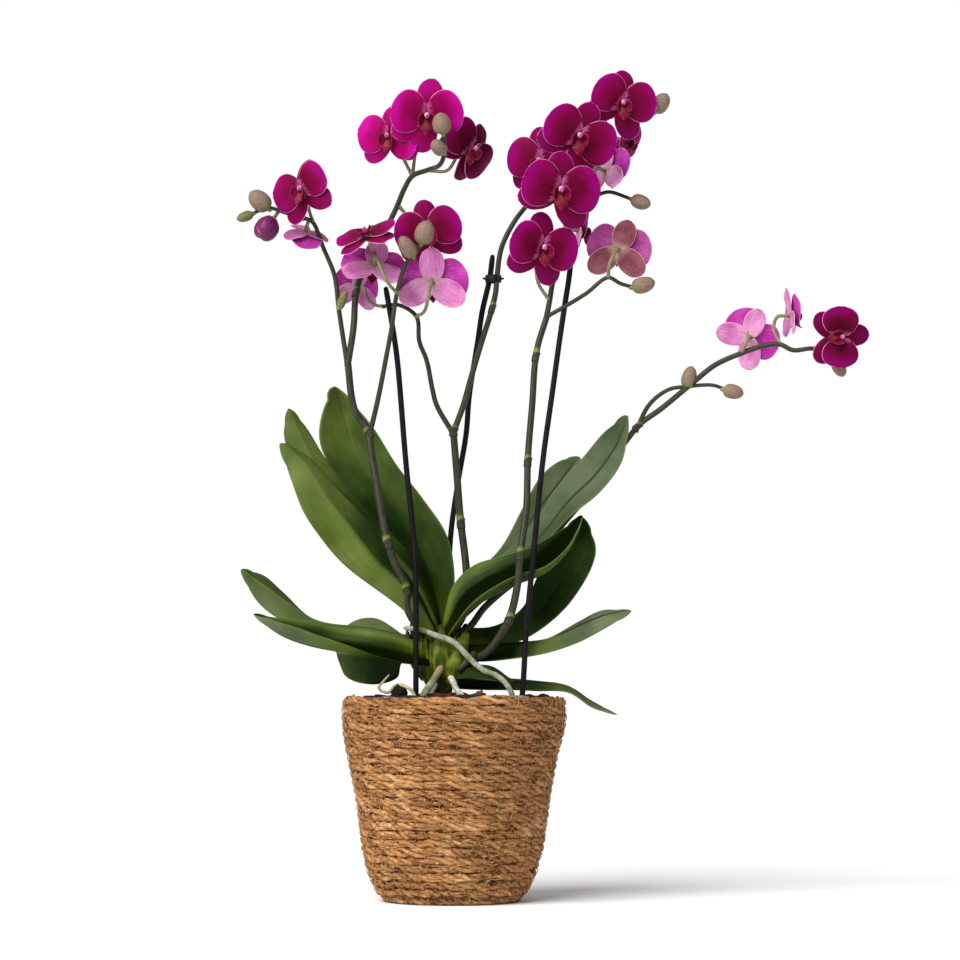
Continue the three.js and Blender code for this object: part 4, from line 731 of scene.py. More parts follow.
def leaf_material():
    paint = Paint("leaf")
    share, across, _, look = paint.mark
    lines = paint.noise(paint.vector(share * 1.2, across * 14), 1.6)
    patches = paint.noise(paint.place, 0.03)
    value = lines * 0.25 + patches * 0.75
    # Below look 0 the colour goes to near black: painted deep shade
    color = (0.003, 0.006, 0.001)
    for level, shades in enumerate(LEAF_SHADES):
        face = paint.ramp(value, list(zip((0.36, 0.5, 0.64), shades)))
        color = paint.mix(paint.fade(look, level - 1.0, level), color, face)
    middle = abs(across)
    rib = paint.fade(middle, 0.06, 0.0) * paint.fade(look, 0.2, 1.3)
    color = paint.mix(rib * 0.45, color, (0.15, 0.19, 0.05))
    # Painted shade: a dark line in the crease along the midrib, on the grey-green looks
    crease = paint.fade(middle, 0.13, 0.02) * paint.fade(look, 1.2, 1.7)
    color = paint.mix(crease * 0.9, color, (0.012, 0.024, 0.007))
    color = paint.mix(paint.fade(middle, 0.96, 1.0) * 0.35, color, (0.2, 0.26, 0.07))
    base = paint.fade(share + patches * 0.1, 0.2, 0.05) * paint.fade(look, -1.3, 0.6)
    color = paint.mix(base * 0.7, color, (0.105, 0.14, 0.005))
    # Less gloss where the look is painted deep shade, so that it stays near black
    paint.link(paint.fade(look, -0.9, 0.4) * 0.06, "Specular IOR Level")
    return paint.finish(color, patches * 0.2 + 0.36, lines, 0.2, 0.3)


def tepal_material(name, fronts, petal_backs, sepal_backs):
    """Three colours each for the fronts and the backs, from the darkest."""
    paint = Paint(name, Specular_IOR_Level=0.05)
    share, across, side, margin = paint.mark
    sepal = paint.fade(side, 1.4, 1.6)
    veins = paint.noise(paint.vector(share * 1.3, across * 9, side), 1.9, 3, 0.6)
    broad = paint.noise(paint.place, 0.07, 2)
    value = veins * 0.5 + broad * 0.5
    smooth = veins * 0.12 + broad * 0.45 + (share * 0.5 - margin * 0.016)
    tints = ((smooth, fronts), (value, petal_backs), (value, sepal_backs))
    ramps = [paint.ramp(level, list(zip((0.34, 0.5, 0.66), colors))) for level, colors in tints]
    front = paint.mix(sepal * 0.55, ramps[0], fronts[0])
    rays = paint.fade(veins * 0.38 - share, 0.0, 0.09)
    front = paint.mix(rays * 0.5, front, (0.52, 0.12, 0.32))
    pale_base = paint.fade(share, 0.32, 0.04)
    back = paint.mix(pale_base * 0.55, paint.mix(sepal, ramps[1], ramps[2]), (0.55, 0.4, 0.28))
    color = paint.mix(side % 2.0, back, front)
    edge = paint.fade(margin, 0.55, 0.1)
    color = paint.mix(edge * 0.75, color, (0.85, 0.33, 0.64))
    return paint.finish(color, broad * 0.2 + 0.45, veins, depth=0.35, strength=0.4)


def lip_material():
    paint = Paint("lip", Specular_IOR_Level=0.15)
    share, across = paint.mark[:2]
    speckle = paint.noise(paint.place, 1.3, 3, 0.7)
    fine = paint.noise(paint.place, 2.6, 2, 0.6)
    color = paint.ramp(speckle, [
        (0.4, (0.08, 0.0, 0.01)), (0.54, (0.17, 0.0, 0.025)), (0.68, (0.34, 0.006, 0.09)),
    ])
    spots = paint.fade(fine, 0.5, 0.58) * paint.fade(share + speckle * 0.4, 0.75, 0.35)
    color = paint.mix(spots * 0.8, color, (0.44, 0.1, 0.045))
    edge = paint.fade(abs(across), 0.9, 1.0)
    color = paint.mix(edge * 0.3, color, (0.45, 0.03, 0.12))
    return paint.finish(color, speckle * 0.3 + 0.3, speckle, depth=0.3)


def column_material():
    paint = Paint("column", Specular_IOR_Level=0.15)
    value = paint.noise(paint.place, 0.9, 2)
    pink = paint.ramp(value, [(0.3, (0.4, 0.03, 0.2)), (0.7, (0.6, 0.16, 0.4))])
    pale = paint.ramp(value, [(0.3, (0.7, 0.36, 0.4)), (0.7, (0.85, 0.6, 0.6))])
    color = paint.mix(paint.fade(paint.mark[0], 1.5, 5.0), pink, pale)
    return paint.finish(color, value * 0.3 + 0.25, value, depth=0.1)


def stem_material(name, dark, light, node_color):
    """A flower stem: its tone is 0 on plain stem and rises to 1 at a node or where it is young."""
    paint = Paint(name, Specular_IOR_Level=0.22)
    run, round_x, round_y, tone = paint.mark
    lines = paint.noise(paint.vector(run * 0.06, round_x * 2, round_y), 2.2)
    specks = paint.noise(paint.place, 1.1, 4, 0.7)
    value = lines * 0.5 + specks * 0.5
    color = paint.mix(paint.fade(value, 0.36, 0.66), dark, light)
    color = paint.mix(paint.fade(tone, 0.1, 0.9), color, node_color)
    color = paint.mix(paint.fade(specks, 0.56, 0.66) * 0.35, color, dark)
    return paint.finish(color, specks * 0.2 + 0.35, value, depth=0.25)


def bud_material():
    paint = Paint("bud", Specular_IOR_Level=0.15)
    share, seam, way, tone = paint.mark
    specks = paint.noise(paint.place, 0.9, 4, 0.6)
    lines = paint.noise(paint.vector(share, way * 5, seam), 2.5, 2)
    ripe = paint.ramp(specks, [(0.2, (0.13, 0.076, 0.058)), (0.8, (0.31, 0.212, 0.165))])
    green = paint.ramp(specks, [(0.35, (0.08, 0.09, 0.02)), (0.65, (0.19, 0.2, 0.07))])
    color = paint.mix(tone, ripe, green)
    foot = paint.fade(share, 0.35, 0.0)
    color = paint.mix(foot * 0.7, color, (0.17, 0.19, 0.05))
    crease = paint.fade(seam, 0.16, 0.02)
    color = paint.mix(crease * 0.55, color, (0.2, 0.09, 0.07))
    return paint.finish(color, specks * 0.2 + 0.4, lines, depth=0.3)


def opening_material():
    paint = Paint("opening_bloom", Specular_IOR_Level=0.3)
    share, seam, way = paint.mark[:3]
    lines = paint.noise(paint.vector(share, way * 7, seam), 2.2)
    outside = paint.ramp(lines, [(0.3, (0.06, 0.001, 0.03)), (0.7, (0.2, 0.012, 0.12))])
    color = paint.mix(paint.fade(seam, 0.12, 0.02), outside, (0.6, 0.25, 0.46))
    color = paint.mix(paint.fade(share, 0.3, 0.05), color, (0.5, 0.3, 0.3))
    return paint.finish(color, lines * 0.2 + 0.35, lines, depth=0.3)


def root_material(name, low, high, patch):
    """A root's skin: its tone is 1 where it is tan."""
    paint = Paint(name, Specular_IOR_Level=0.25)
    value = paint.noise(paint.place, 0.35, 5, 0.65)
    fine = paint.noise(paint.place, 1.8)
    color = paint.ramp(value * 0.75 + fine * 0.25, [(0.38, low), (0.56, high)])
    color = paint.mix(paint.fade(paint.noise(paint.place, 0.09, 2), 0.5, 0.66), color, patch)
    color = paint.mix(paint.mark[3], color, (0.33, 0.2, 0.08))
    return paint.finish(color, value * 0.2 + 0.55, fine, depth=0.3)


def crown_material():
    """The sheathing leaf bases: their tone is 0 where they are green and rises to 1 where brown."""
    paint = Paint("crown", Specular_IOR_Level=0.15)
    height, across, _, tone = paint.mark
    lines = paint.noise(paint.vector(height * 0.04, across * 8), 1.7)
    patches = paint.noise(paint.place, 0.12)
    color = paint.ramp(lines * 0.5 + patches * 0.5, [
        (0.35, (0.018, 0.03, 0.002)), (0.5, (0.054, 0.076, 0.003)), (0.65, (0.16, 0.19, 0.01)),
    ])
    brown = paint.fade(tone + patches * 0.5, 0.85, 1.15)
    color = paint.mix(brown, color, (0.035, 0.035, 0.01))
    return paint.finish(color, patches * 0.2 + 0.33, lines, depth=0.4)


def floor_material():
    paint = Paint("floor", Roughness=0.9, Specular_IOR_Level=0.1)
    value = paint.noise(paint.place, 0.01, 2)
    return paint.finish(paint.ramp(value, [(0.3, (0.93, 0.93, 0.93)), (0.7, (0.95, 0.95, 0.95))]))


LEAF_SHADES = (  # the dark upper face, the olive underside, and two grey greens that are a painted sheen, the paler with painted light too
    ((0.007, 0.02, 0.002), (0.016, 0.036, 0.005), (0.036, 0.064, 0.012)),
    ((0.058, 0.09, 0.012), (0.094, 0.135, 0.024), (0.14, 0.182, 0.042)),
    ((0.042, 0.064, 0.026), (0.068, 0.094, 0.044), (0.102, 0.128, 0.068)),
    ((0.16, 0.18, 0.08), (0.235, 0.262, 0.13), (0.32, 0.34, 0.19)),
)
# The wine fronts painted darker, as painted shade, for blooms that lie in shade
PAINTED_SHADE_WINE = ((0.06, 0.0, 0.01), (0.12, 0.0, 0.03), (0.18, 0.0, 0.08))
WINE = ((0.11, 0.0, 0.02), (0.18, 0.0, 0.05), (0.24, 0.0, 0.12))
MAGENTA = ((0.22, 0.0, 0.055), (0.34, 0.0, 0.12), (0.45, 0.002, 0.25))
LILAC = ((0.26, 0.01, 0.19), (0.43, 0.035, 0.32), (0.62, 0.11, 0.49))
PALE_LILAC = ((0.42, 0.09, 0.28), (0.6, 0.2, 0.45), (0.78, 0.4, 0.64))
DUSKY = ((0.2, 0.02, 0.12), (0.32, 0.055, 0.21), (0.46, 0.12, 0.33))
BROWN_PINK = ((0.12, 0.03, 0.04), (0.21, 0.065, 0.08), (0.32, 0.13, 0.135))
MATERIALS = {
    "seagrass": seagrass(),
    "straw": straw(),
    "painted_shade_backing": painted_shade_backing(),
    "film": film(),
    "pot": black_plastic("pot_plastic", (0.008, 0.008, 0.009), 0.3),
    "stake": black_plastic("stake_plastic", (0.004, 0.004, 0.005), 0.4),
    "clip": black_plastic("clip_plastic", (0.007, 0.007, 0.009), 0.3),
    "bark": bark_material(),
    "leaf": leaf_material(),
    "tepal": tepal_material("tepal", WINE, LILAC, PALE_LILAC),
    # Tepals with painted shade on their fronts
    "painted_shade_tepal": tepal_material("painted_shade_tepal", PAINTED_SHADE_WINE, LILAC, PALE_LILAC),
    "bright_tepal": tepal_material("bright_tepal", MAGENTA, LILAC, PALE_LILAC),
    "cream_tepal": tepal_material("cream_tepal", WINE, DUSKY, BROWN_PINK),
    "lip": lip_material(),
    "column": column_material(),
    "spike": stem_material("spike_stem", (0.014, 0.015, 0.008), (0.05, 0.049, 0.028), (0.15, 0.2, 0.03)),
    "stalk": stem_material("flower_stalk", (0.11, 0.095, 0.045), (0.3, 0.28, 0.15), (0.4, 0.34, 0.22)),
    # Near black: dried sheaths, and stubs that are painted shade at the crown's foot
    "old_sheath_and_painted_shade": stem_material("old_sheath_and_painted_shade", (0.006, 0.006, 0.003), (0.03, 0.024, 0.012),
                                (0.05, 0.045, 0.02)),
    "bud": bud_material(),
    "opening": opening_material(),
    "root_silver": root_material("silver_root", (0.15, 0.16, 0.105), (0.34, 0.35, 0.265),
                                 (0.13, 0.16, 0.06)),
    "root_pale": root_material("pale_root", (0.25, 0.27, 0.2), (0.6, 0.6, 0.5), (0.24, 0.28, 0.15)),
    "root_dry": root_material("dry_root", (0.26, 0.17, 0.08), (0.55, 0.43, 0.27), (0.34, 0.33, 0.2)),
    "crown": crown_material(),
}

# Basket, liner, pot and bark


def basket_radius(height):
    heights, radii = zip(*BASKET_SIDE)
    return np.interp(height, heights, radii)


def basket_wobble(angle, height):
    """How far the hand-made wall leans out or in: its rim to the right and its foot to the left."""
    angle = angle + 0 * height
    rim = np.clip((height - 98) / 22, 0, 1) * (1 + np.cos(angle)) * 1.3
    foot = np.clip((70 - height) / 50, 0, 1) * (1.3 - 0.6 * np.cos(angle))
    return rim + foot + 0.35 * np.sin(5 * angle + height / 25) - 0.5


def on_wall(angle, height, out):
    radius = basket_radius(height) + basket_wobble(angle, height) + out
    return np.array([radius * math.cos(angle), radius * math.sin(angle), height])


def add_strand(shape, center, height, twists, phase, row, dice):
    """One closed strand of a rope that lies in a ring, pressed against its neighbours."""
    count = twists * POINTS_A_TWIST
    angle = circle(count)
    places = polar(3, angle, 0 * angle + row * 0.9)
    turn = twists * angle + phase + 2.2 * wave(3, 1.0, places) + wave(5, 3.0, places)
    sway = wave(11, 0.8, places)
    lean = wave(23, 1.3, places)
    swell = wave(phase + 31, 2.5, places)
    jog = wave(phase + 47, 3.1, places)
    wobble = basket_wobble(angle, height)
    outward, upward = STRAND_SWING
    radius = center + wobble + outward * np.cos(turn) + 0.4 * sway
    level = height - upward * np.sin(turn) * (1 + 0.3 * swell) + 1.3 * lean + 1.1 * jog
    path = polar(radius, angle, np.maximum(level, 1.9))
    ahead = unit(np.roll(path, -1, axis=0) - np.roll(path, 1, axis=0))
    out = polar(1, angle, 0 * angle)
    out = unit(out - ahead * np.sum(out * ahead, axis=1)[:, None])
    up = np.cross(ahead, out)
    section = circle(STRAND_SIDES)
    thick, tall = ((size * (1 + 0.22 * swell))[:, None, None] for size in STRAND_SIZE)
    across = np.cos(section)[None, :, None] * thick
    along_wall = np.sin(section)[None, :, None] * tall
    grid = path[:, None] + out[:, None] * across + up[:, None] * along_wall
    # Painted shade: the further a point lies in from the outside of its rope, in the crevices, the darker
    # its tone
    crevice_shade = np.clip((center + wobble[:, None] + 2.3 - np.hypot(grid[..., 0], grid[..., 1])) / 3.0, 0, 1)
    # Each length of strand that comes to the outside has a shade of its own
    shades = np.array([dice.choice(STRAND_SHADES) + dice.uniform(-0.1, 0.1) for _ in range(twists + 4)])
    length = np.floor((turn - phase) / FULL_TURN + phase / FULL_TURN + 0.5).astype(int) % len(shades)
    # The painted crevice shade grows stronger and weaker along the rope, so that it breaks into dashes
    crevice_shade_strength = np.clip(0.45 + 2.2 * wave(phase + 71, 4.5, places), 0, 1.6)[:, None]
    tone = crevice_shade * (0.5 + 1.3 * crevice_shade_strength) - 0.15 + shades[length][:, None]
    run = (angle * center)[:, None] + 37 * row
    marks = grid_marks(grid, run, np.cos(section), np.sin(section), tone)
    quads = grid_faces(count + 1, STRAND_SIDES, closed=True)
    shape.add(grid, marks, [[number % (count * STRAND_SIDES) for number in quad] for quad in quads])


def add_rope(shape, center, height, twists, row, dice):
    """A ring of twisted rope. row gives each ring a wander of its own."""
    phase = dice.uniform(0, 6.28)
    for part in range(ROPE_STRANDS):
        add_strand(shape, center, height, twists, phase + part * FULL_TURN / ROPE_STRANDS, row, dice)


def make_basket():
    shape = Shape()
    dice = random.Random(5)
    rows = []
    for row in range(ROPE_ROWS):
        height = ROPE_MARGIN + (BASKET_HEIGHT - 2 * ROPE_MARGIN) * row / (ROPE_ROWS - 1)
        rows.append((basket_radius(height) - ROPE_INSET, height))
        add_rope(shape, *rows[-1], ROPE_TWISTS, row, dice)
    for ring in range(FLOOR_RINGS):
        center = FLOOR_RING_RADIUS - ring * FLOOR_RING_STEP
        twists = max(int(ROPE_TWISTS * center / TWISTS_RADIUS), 2)
        add_rope(shape, center, FLOOR_RING_HEIGHT, twists, 40 + ring, dice)
    # The backing between the ropes, dark as painted shade in the gaps
    skin = [(0, 2.6), (basket_radius(5) - 5, 2.6)]
    skin += [(basket_radius(height) - 3.2, height) for height in (8, 16, 30, 50, 80, 110, 134)]
    skin += [(basket_radius(height) - 5.0, height) for height in (134, 110, 80, 50, 30, 16)]
    skin += [(basket_radius(8) - 5.2, 4.6), (0, 4.6)]
    turned(shape, skin, 72, basket_wobble, kind=1)
    shape.build("basket_weave", "basket", ["seagrass", "painted_shade_backing"])
    threads = Shape()
    add_stitches(threads, rows, dice)
    add_whiskers(threads, dice)
    threads.build("basket_stitches", "basket", ["straw"])


def add_stitches(shape, rows, dice):
    """Thin grass threads that zigzag over each rope and bind it to the next."""
    for center, height in rows:
        count = int(FULL_TURN * center / STITCH_SPACING)
        for i in range(count):
            if dice.random() < MISSING_STITCHES:
                continue
            angle = FULL_TURN * (i + dice.uniform(-0.3, 0.3)) / count
            slant = (1 if i % 2 else -1) * dice.uniform(0.7, 2.2) / center
            reach = dice.uniform(2.3, 3.6)
            path = []
            for t in (-1, -0.5, 0, 0.5, 1):
                x, y, z = on_wall(angle + slant * t, height + reach * t, 0.1 - 1.5 * t * t)
                path.append((x, y, min(max(z, 0.6), BASKET_HEIGHT - 0.4)))
            tube(shape, path, dice.uniform(0.14, 0.24), 3)


def add_whiskers(shape, dice):
    """Loose ends of grass and pale chaff that lie along the weave."""
    for _ in range(WHISKERS):
        angle = dice.uniform(0, FULL_TURN)
        height = dice.uniform(4, BASKET_HEIGHT - 3)
        length = dice.uniform(3, 9)
        lean = dice.uniform(-0.3, 0.15)
        turn = dice.choice([-1, 1]) * length / 70
        lift = dice.choice([0.1, 0.2, 0.2, 0.3, 0.3, 0.4])
        path = []
        for t in (0, 0.33, 0.66, 1):
            level = min(max(height + lean * length * t, 1), BASKET_HEIGHT - 0.8)
            path.append(on_wall(angle + turn * t, level, -0.6 + lift * 4 * t * (1 - t) + 0.3 * t))
        tube(shape, path, [0.1, dice.uniform(0.2, 0.45), dice.uniform(0.2, 0.45), 0.1], 4)


def inside_radius(height):
    return basket_radius(height) - BASKET_WALL


def crinkle(angle, height):
    """How far the film's folds stand out, more so towards the rim."""
    return 0.35 * np.sin(17 * angle + height / 9) * np.sin(5 * angle) * height / BASKET_HEIGHT


def make_liner():
    shape = Shape()
    heights = (16, 30, 50, 75, 100, 120, 130, LINER_TOP)
    outer = [(inside_radius(height) - GAP, height) for height in heights]
    inner = [(radius - LINER_WALL, height) for radius, height in reversed(outer)]
    foot = inside_radius(9) - 2
    under = BASKET_FLOOR + GAP
    over = under + LINER_WALL
    profile = [(0, under), (foot, under), *outer, *inner, (foot - LINER_WALL, over), (0, over)]
    turned(shape, profile, 120, crinkle)
    # The edge of the film rises and falls, and stands up at one place
    points = shape.points[0]
    angle = np.arctan2(points[:, 1], points[:, 0])
    ups_and_downs = 1.1 * np.sin(9 * angle) * np.sin(4 * angle + 1)
    loose = ups_and_downs + 1.6 * np.exp(-((angle + 1.0) / 0.28) ** 2) - 0.9
    points[:, 2] += np.where(points[:, 2] > LINER_TOP - 1, loose, 0)
    shape.build("liner_sheet", "basket_liner", ["film"])


def pot_radius(height):
    share = (height - POT_BOTTOM) / (POT_TOP - POT_RIM_HEIGHT - POT_BOTTOM)
    return POT_FOOT_RADIUS + (POT_TOP_RADIUS - POT_FOOT_RADIUS) * min(share, 1)


def make_pot():
    shape = Shape()
    shoulder = POT_TOP - POT_RIM_HEIGHT
    profile = [
        (0, POT_BOTTOM), (POT_FOOT_RADIUS - 1.5, POT_BOTTOM), (POT_FOOT_RADIUS, POT_BOTTOM + 1.5),
        (POT_TOP_RADIUS, shoulder), (POT_RIM_RADIUS - 0.4, shoulder), (POT_RIM_RADIUS, shoulder + 0.5),
        (POT_RIM_RADIUS, POT_TOP - 0.5), (POT_RIM_RADIUS - 0.5, POT_TOP), (POT_RIM_RADIUS - 1, POT_TOP),
        (POT_RIM_RADIUS - POT_WALL, POT_TOP - 0.5), (POT_TOP_RADIUS - POT_WALL, shoulder + 1),
        (POT_FOOT_RADIUS - POT_WALL, POT_BOTTOM + POT_WALL), (0, POT_BOTTOM + POT_WALL),
    ]
    turned(shape, profile, 96)
    shape.build("pot_wall", "nursery_pot", ["pot"])


def add_chip(shape, middle, sizes, way, tilt, seed, tone):
    """A broken chip of bark: a box with cut corners and rough faces."""
    grid = []
    for z in np.linspace(-1, 1, CHIP_LEVELS):
        narrow = 1 - 0.4 * abs(z) ** 2.2
        for a in circle(CHIP_SIDES):
            box = min(1 / max(abs(math.cos(a)), abs(math.sin(a))), 1.25)
            grid.append([math.cos(a) * box * narrow, math.sin(a) * box * narrow, z])
    grid = np.array(grid)
    grid *= 1 + 0.3 * wave(seed, 1.5, grid)[:, None]
    points = np.vstack([grid, [[0, 0, -1], [0, 0, 1]]]) * np.asarray(sizes) / 2
    turn = Matrix.Rotation(way, 4, "Z") @ Matrix.Rotation(tilt, 4, "X")
    points = points @ np.array(turn.to_3x3()).T + middle
    shape.add(points, [0, 0, 0, tone], closed_faces(CHIP_LEVELS, CHIP_SIDES))


SEEN_CHIPS = [  # the ones that show over the rim: place, sizes and tone
    ((18, -34, 137), (6, 6, 9), 0.42), ((-36, -26, 140), (9, 9, 10), -0.6),
    ((-40, -34, 136), (7, 6, 5), -0.5), ((52, -24, 136), (10, 8, 4), -0.4),
    ((62, -6, 136), (8, 8, 4), -0.4), ((-50, -22, 136), (9, 7, 4), -0.3),
    ((6, -40, 136), (9, 7, 5), 0.2), ((28, -36, 135), (9, 8, 5), 0.1),
]


def make_bark():
    shape = Shape()
    dice = random.Random(9)
    foot = POT_BOTTOM + POT_WALL + GAP
    foot_radius, top_radius = (pot_radius(height) - POT_WALL - GAP for height in (foot, BARK_TOP))
    turned(shape, [(0, foot), (foot_radius, foot), (top_radius, BARK_TOP - 5), (0, BARK_TOP - 2)], 48)
    for i in range(CHIPS):
        radius = CHIPS_RADIUS * math.sqrt((i + 0.5) / CHIPS)
        angle = i * GOLDEN_ANGLE
        sizes = (dice.uniform(7, 17), dice.uniform(5, 11), dice.uniform(3, 6))
        way = dice.uniform(0, 6.3)
        tilt = dice.uniform(-0.6, 0.6)
        heap = HEAP_HEIGHT * max(0, 1 - (radius / HEAP_RADIUS) ** 2)
        level = BARK_TOP - 2 + heap + dice.uniform(-1, 2.5)
        middle = (radius * math.cos(angle), radius * math.sin(angle), level)
        add_chip(shape, middle, sizes, way, tilt, i * 3.1, dice.uniform(-0.2, 0.9))
    for i, (place, sizes, tone) in enumerate(SEEN_CHIPS):
        add_chip(shape, seen(place), sizes, 0.7 * i, 0.5, 7.7 * i, tone)
    shape.build("bark_chips", "bark", ["bark"])


# Stakes, clip, crown and roots


def make_stakes():
    for name, places in STAKES.items():
        shape = Shape()
        path = route(seen(places), 4)[0]
        radii = np.full(len(path), STAKE_RADIUS)
        radii[0] = 0.6
        radii[-1] = STAKE_RADIUS * 0.8
        tube(shape, path, radii, 16)
        shape.build(name + "_rod", name, ["stake"])


def make_clip():
    shape = Shape()
    center = seen(CLIP_AT)
    half = CLIP_HEIGHT / 2
    angle = circle(28)
    profile = [
        (0, -half + 0.4), (0, half - 0.4), (0.4, half), (1.1, half),
        (1.3, half - 0.4), (1.3, -half + 0.4), (1.1, -half), (0.4, -half), (0, -half + 0.4),
    ]
    points = []
    for inset, z in profile:
        radius = CLIP_RADIUS - inset
        points += [[radius * math.cos(a), radius * math.sin(a), z] for a in angle]
    faces = grid_faces(len(profile), len(angle), closed=True)
    shape.add(np.array(points) + center, [0, 0, 0, 0], faces)
    for sign in (-1, 1):
        start = center + [sign * (CLIP_RADIUS - 0.6), 0, 0]
        end = center + [sign * CLIP_REACH, 0, 0.4]
        tube(shape, [start, (start + end) / 2, end], [0.8, 0.75, 0.6], 8)
    shape.build("clip_band", "stake_clip", ["clip"])


SHEATHS = [  # way, lowest and highest place, and how far round it reaches
    (178, 141, 160, 70), (2, 144, 163, 66), (183, 149, 169, 64), (-4, 152, 172, 62),
    (176, 157, 177, 58), (4, 160, 181, 54), (186, 164, 185, 48), (0, 168, 188, 42),
]
OLD_SHEATHS_AND_PAINTED_SHADE = [  # the dark dried bases of lost leaves and of an old spike, where the two on the left are dark stubs put in as painted shade: places and radii
    ([(-16, 6, 160), (-21, 4, 172), (-25, 2, 184), (-27, 0, 193)], (5, 6, 4.5, 1)),
    ([(-18, 4, 150), (-24, 2, 160), (-29, 0, 172), (-31, -2, 182)], (4, 5, 4, 0.8)),
    ([(15, -12, 166), (10, -15, 161), (4, -17, 155)], (3, 3.3, 2)),
    ([(-2, 8, 168), (5, 8, 176), (9, 8, 186)], (4, 4.5, 1.5)),
]
LEAF_BASES = [  # the fresh ones that widen the crown to each side: places and radii
    ([(-3, -5, 146), (1, -8, 157), (5, -7, 168), (9, -3, 180)], (4, 7, 6, 2.5)),
    ([(-13, -5, 146), (-18, -6, 157), (-24, -7, 166)], (4, 7, 4)),
]


def crown_radius(height):
    heights = [z for _, _, z in CROWN_ROUTE]
    return along(CROWN_RADII, np.interp(height, heights, np.linspace(0, 1, len(heights))))


def make_crown():
    shape = Shape()
    path, t = route(seen(CROWN_ROUTE), 1.5)
    lumps = 1 + 0.05 * np.sin(path[:, 2] / 2.6)
    brown = np.interp(path[:, 2], [118, 152, 160], [1.2, 0.85, 0])
    tube(shape, path, along(CROWN_RADII, t) * lumps * 0.96, 24, tone=brown)
    level, across = sheet(14, 15)
    for way, low, high, reach in SHEATHS:
        height = low + (high - low) * (level ** 0.9) - 5 * across ** 2 * (1 - level)
        angle = math.radians(way) + across * (math.radians(reach) * (1 - 0.72 * level ** 1.5))
        radius = crown_radius(height) + 0.6 + 0.5 * level + 2.6 * level ** 2
        grid = polar(radius, angle, height) + [CROWN_AXIS, 0, 0]
        two_faced(shape, grid, 1.1, grid_marks(grid, height, across, 0, 0.25 - 0.3 * level))
    # The old sheaths are near black, the two on the left as painted shade
    for stubs, sides, tone, kind in ((OLD_SHEATHS_AND_PAINTED_SHADE, 12, 0.3, 1), (LEAF_BASES, 16, 0.1, 0)):
        for places, radii in stubs:
            path, t = route(seen(places), 1.5)
            tube(shape, path, along(radii, t), sides, tone, kind)
    shape.build("crown_sheaths", "crown", ["crown", "old_sheath_and_painted_shade"])


def make_roots():
    for number, (name, (look, stops, places)) in enumerate(ROOTS.items()):
        shape = Shape()
        path, t = route(seen(places), 0.9)
        sway = np.stack([wave(number * 5 + k, 0.16, path) for k in range(3)], axis=1)
        radii = along(stops, t) * (1 + 0.14 * wave(number * 9, 0.25, path))
        radii[:3] *= [0.55, 0.8, 0.95]
        tan = 0.7 * np.clip((0.42 - t) / 0.06, 0, 1) if name == "root_tan" else 0
        tube(shape, path + 0.35 * sway, radii, 14, tone=tan)
        shape.build(name + "_skin", name, [look])


# Leaves

# What each leaf shows, by stops from the crown to the tip: in front on its left and on its right half,
# and behind. The stops paint light and shade as well as the face: -1 is a deep painted shade, 0 a dark
# upper face, 1 an olive underside, 2 a grey green that is a painted sheen, 3 a pale one that is painted
# sheen and light; low stops towards the crown and on a half turned from the light are painted shade
LEAF_LOOKS = {
    "leaf_left_1": ([0.2, 0.8, 1.2, 1.35], [-1, -0.2, 0.8, 1.2], [0]),
    "leaf_left_2": ([0.3, 0.9, 1.3, 1.5], [-0.8, 0, 0.8, 1.3], [0]),
    "leaf_left_3": ([-0.8, -0.5, 0.1, 0.9, 1.4], [-0.3, 0.2, 0.35, 0.5, 1], [0]),
    "leaf_left_4": ([1.5, 1.5, 1.8], [0.3, 0.35, 0.5], [1]),
    "leaf_left_5": ([1.7, 1.1, 0.8, 0.8], [1.7, 1.1, 0.8, 0.8], [-0.7, 0, 1.3, 2.2, 2.6]),
    "leaf_left_6": ([0, 0.1, 0.1], [1.3, 1.6, 1.7], [1]),
    "leaf_right_1": ([1.9, 1.9, 1.9], [2, 2, 2.2], [1]),
    "leaf_right_2": ([1.9, 1.8, 1.7], [2, 1.9, 1.8], [1]),
    "leaf_right_3": ([0.9, 0.9, -0.2, -1], [0.9, 0.9, -0.2, -1], [0.4, 0.3, 0.6]),
    "leaf_right_4": ([-0.5, -0.1, 0.1], [-0.2, 0, 0.15], [1]),
    "leaf_right_5": ([-1, -0.9, 1.6, 2.3, 2.4], [-1, -0.9, 1.6, 2.4, 2.5], [1]),
    "leaf_right_6": ([-0.8, -0.6, 0.4, 2.1, 2.4], [-0.8, -0.6, 0.6, 2.1, 2.4], [1.4]),
    "leaf_right_7": ([-0.6, -0.3, 0.1], [-0.6, -0.4, 0], [0.5]),
}
# Leaves whose near half stands up in front of the far half: the edge that the midrib follows, where
# the near edge lies from it where it is furthest, how near the tip that is, how much darker the far
# half is painted at the midrib than at its edge, as painted shade in the fold, and how fast that fades
FLAPS = {
    "leaf_left_5": ("left", (0, -6, 9), 1.8, 3.6, 1.1),
    "leaf_right_3": ("right", (1, -7, 6), 0.75, 9, 2),
}


def leaf_edges(left, right, t):
    """The two edges of a leaf, drawn in to a round tip."""
    edges = [seen(places) for places in (left, right)]
    left, right = (spline(edge, t) for edge in edges)
    full_left, full_right = (spline(edge, ROUND_TIP)[0] for edge in edges)
    middle = (left + right) / 2
    past = np.clip((t - ROUND_TIP) / (1 - ROUND_TIP), 0, 1)[:, None]
    drawn_in = (full_right - full_left) / 2 * (1 - past ** 1.7) ** 0.75
    half = np.where(past > 0, drawn_in, (right - left) / 2)
    return middle - half, middle + half


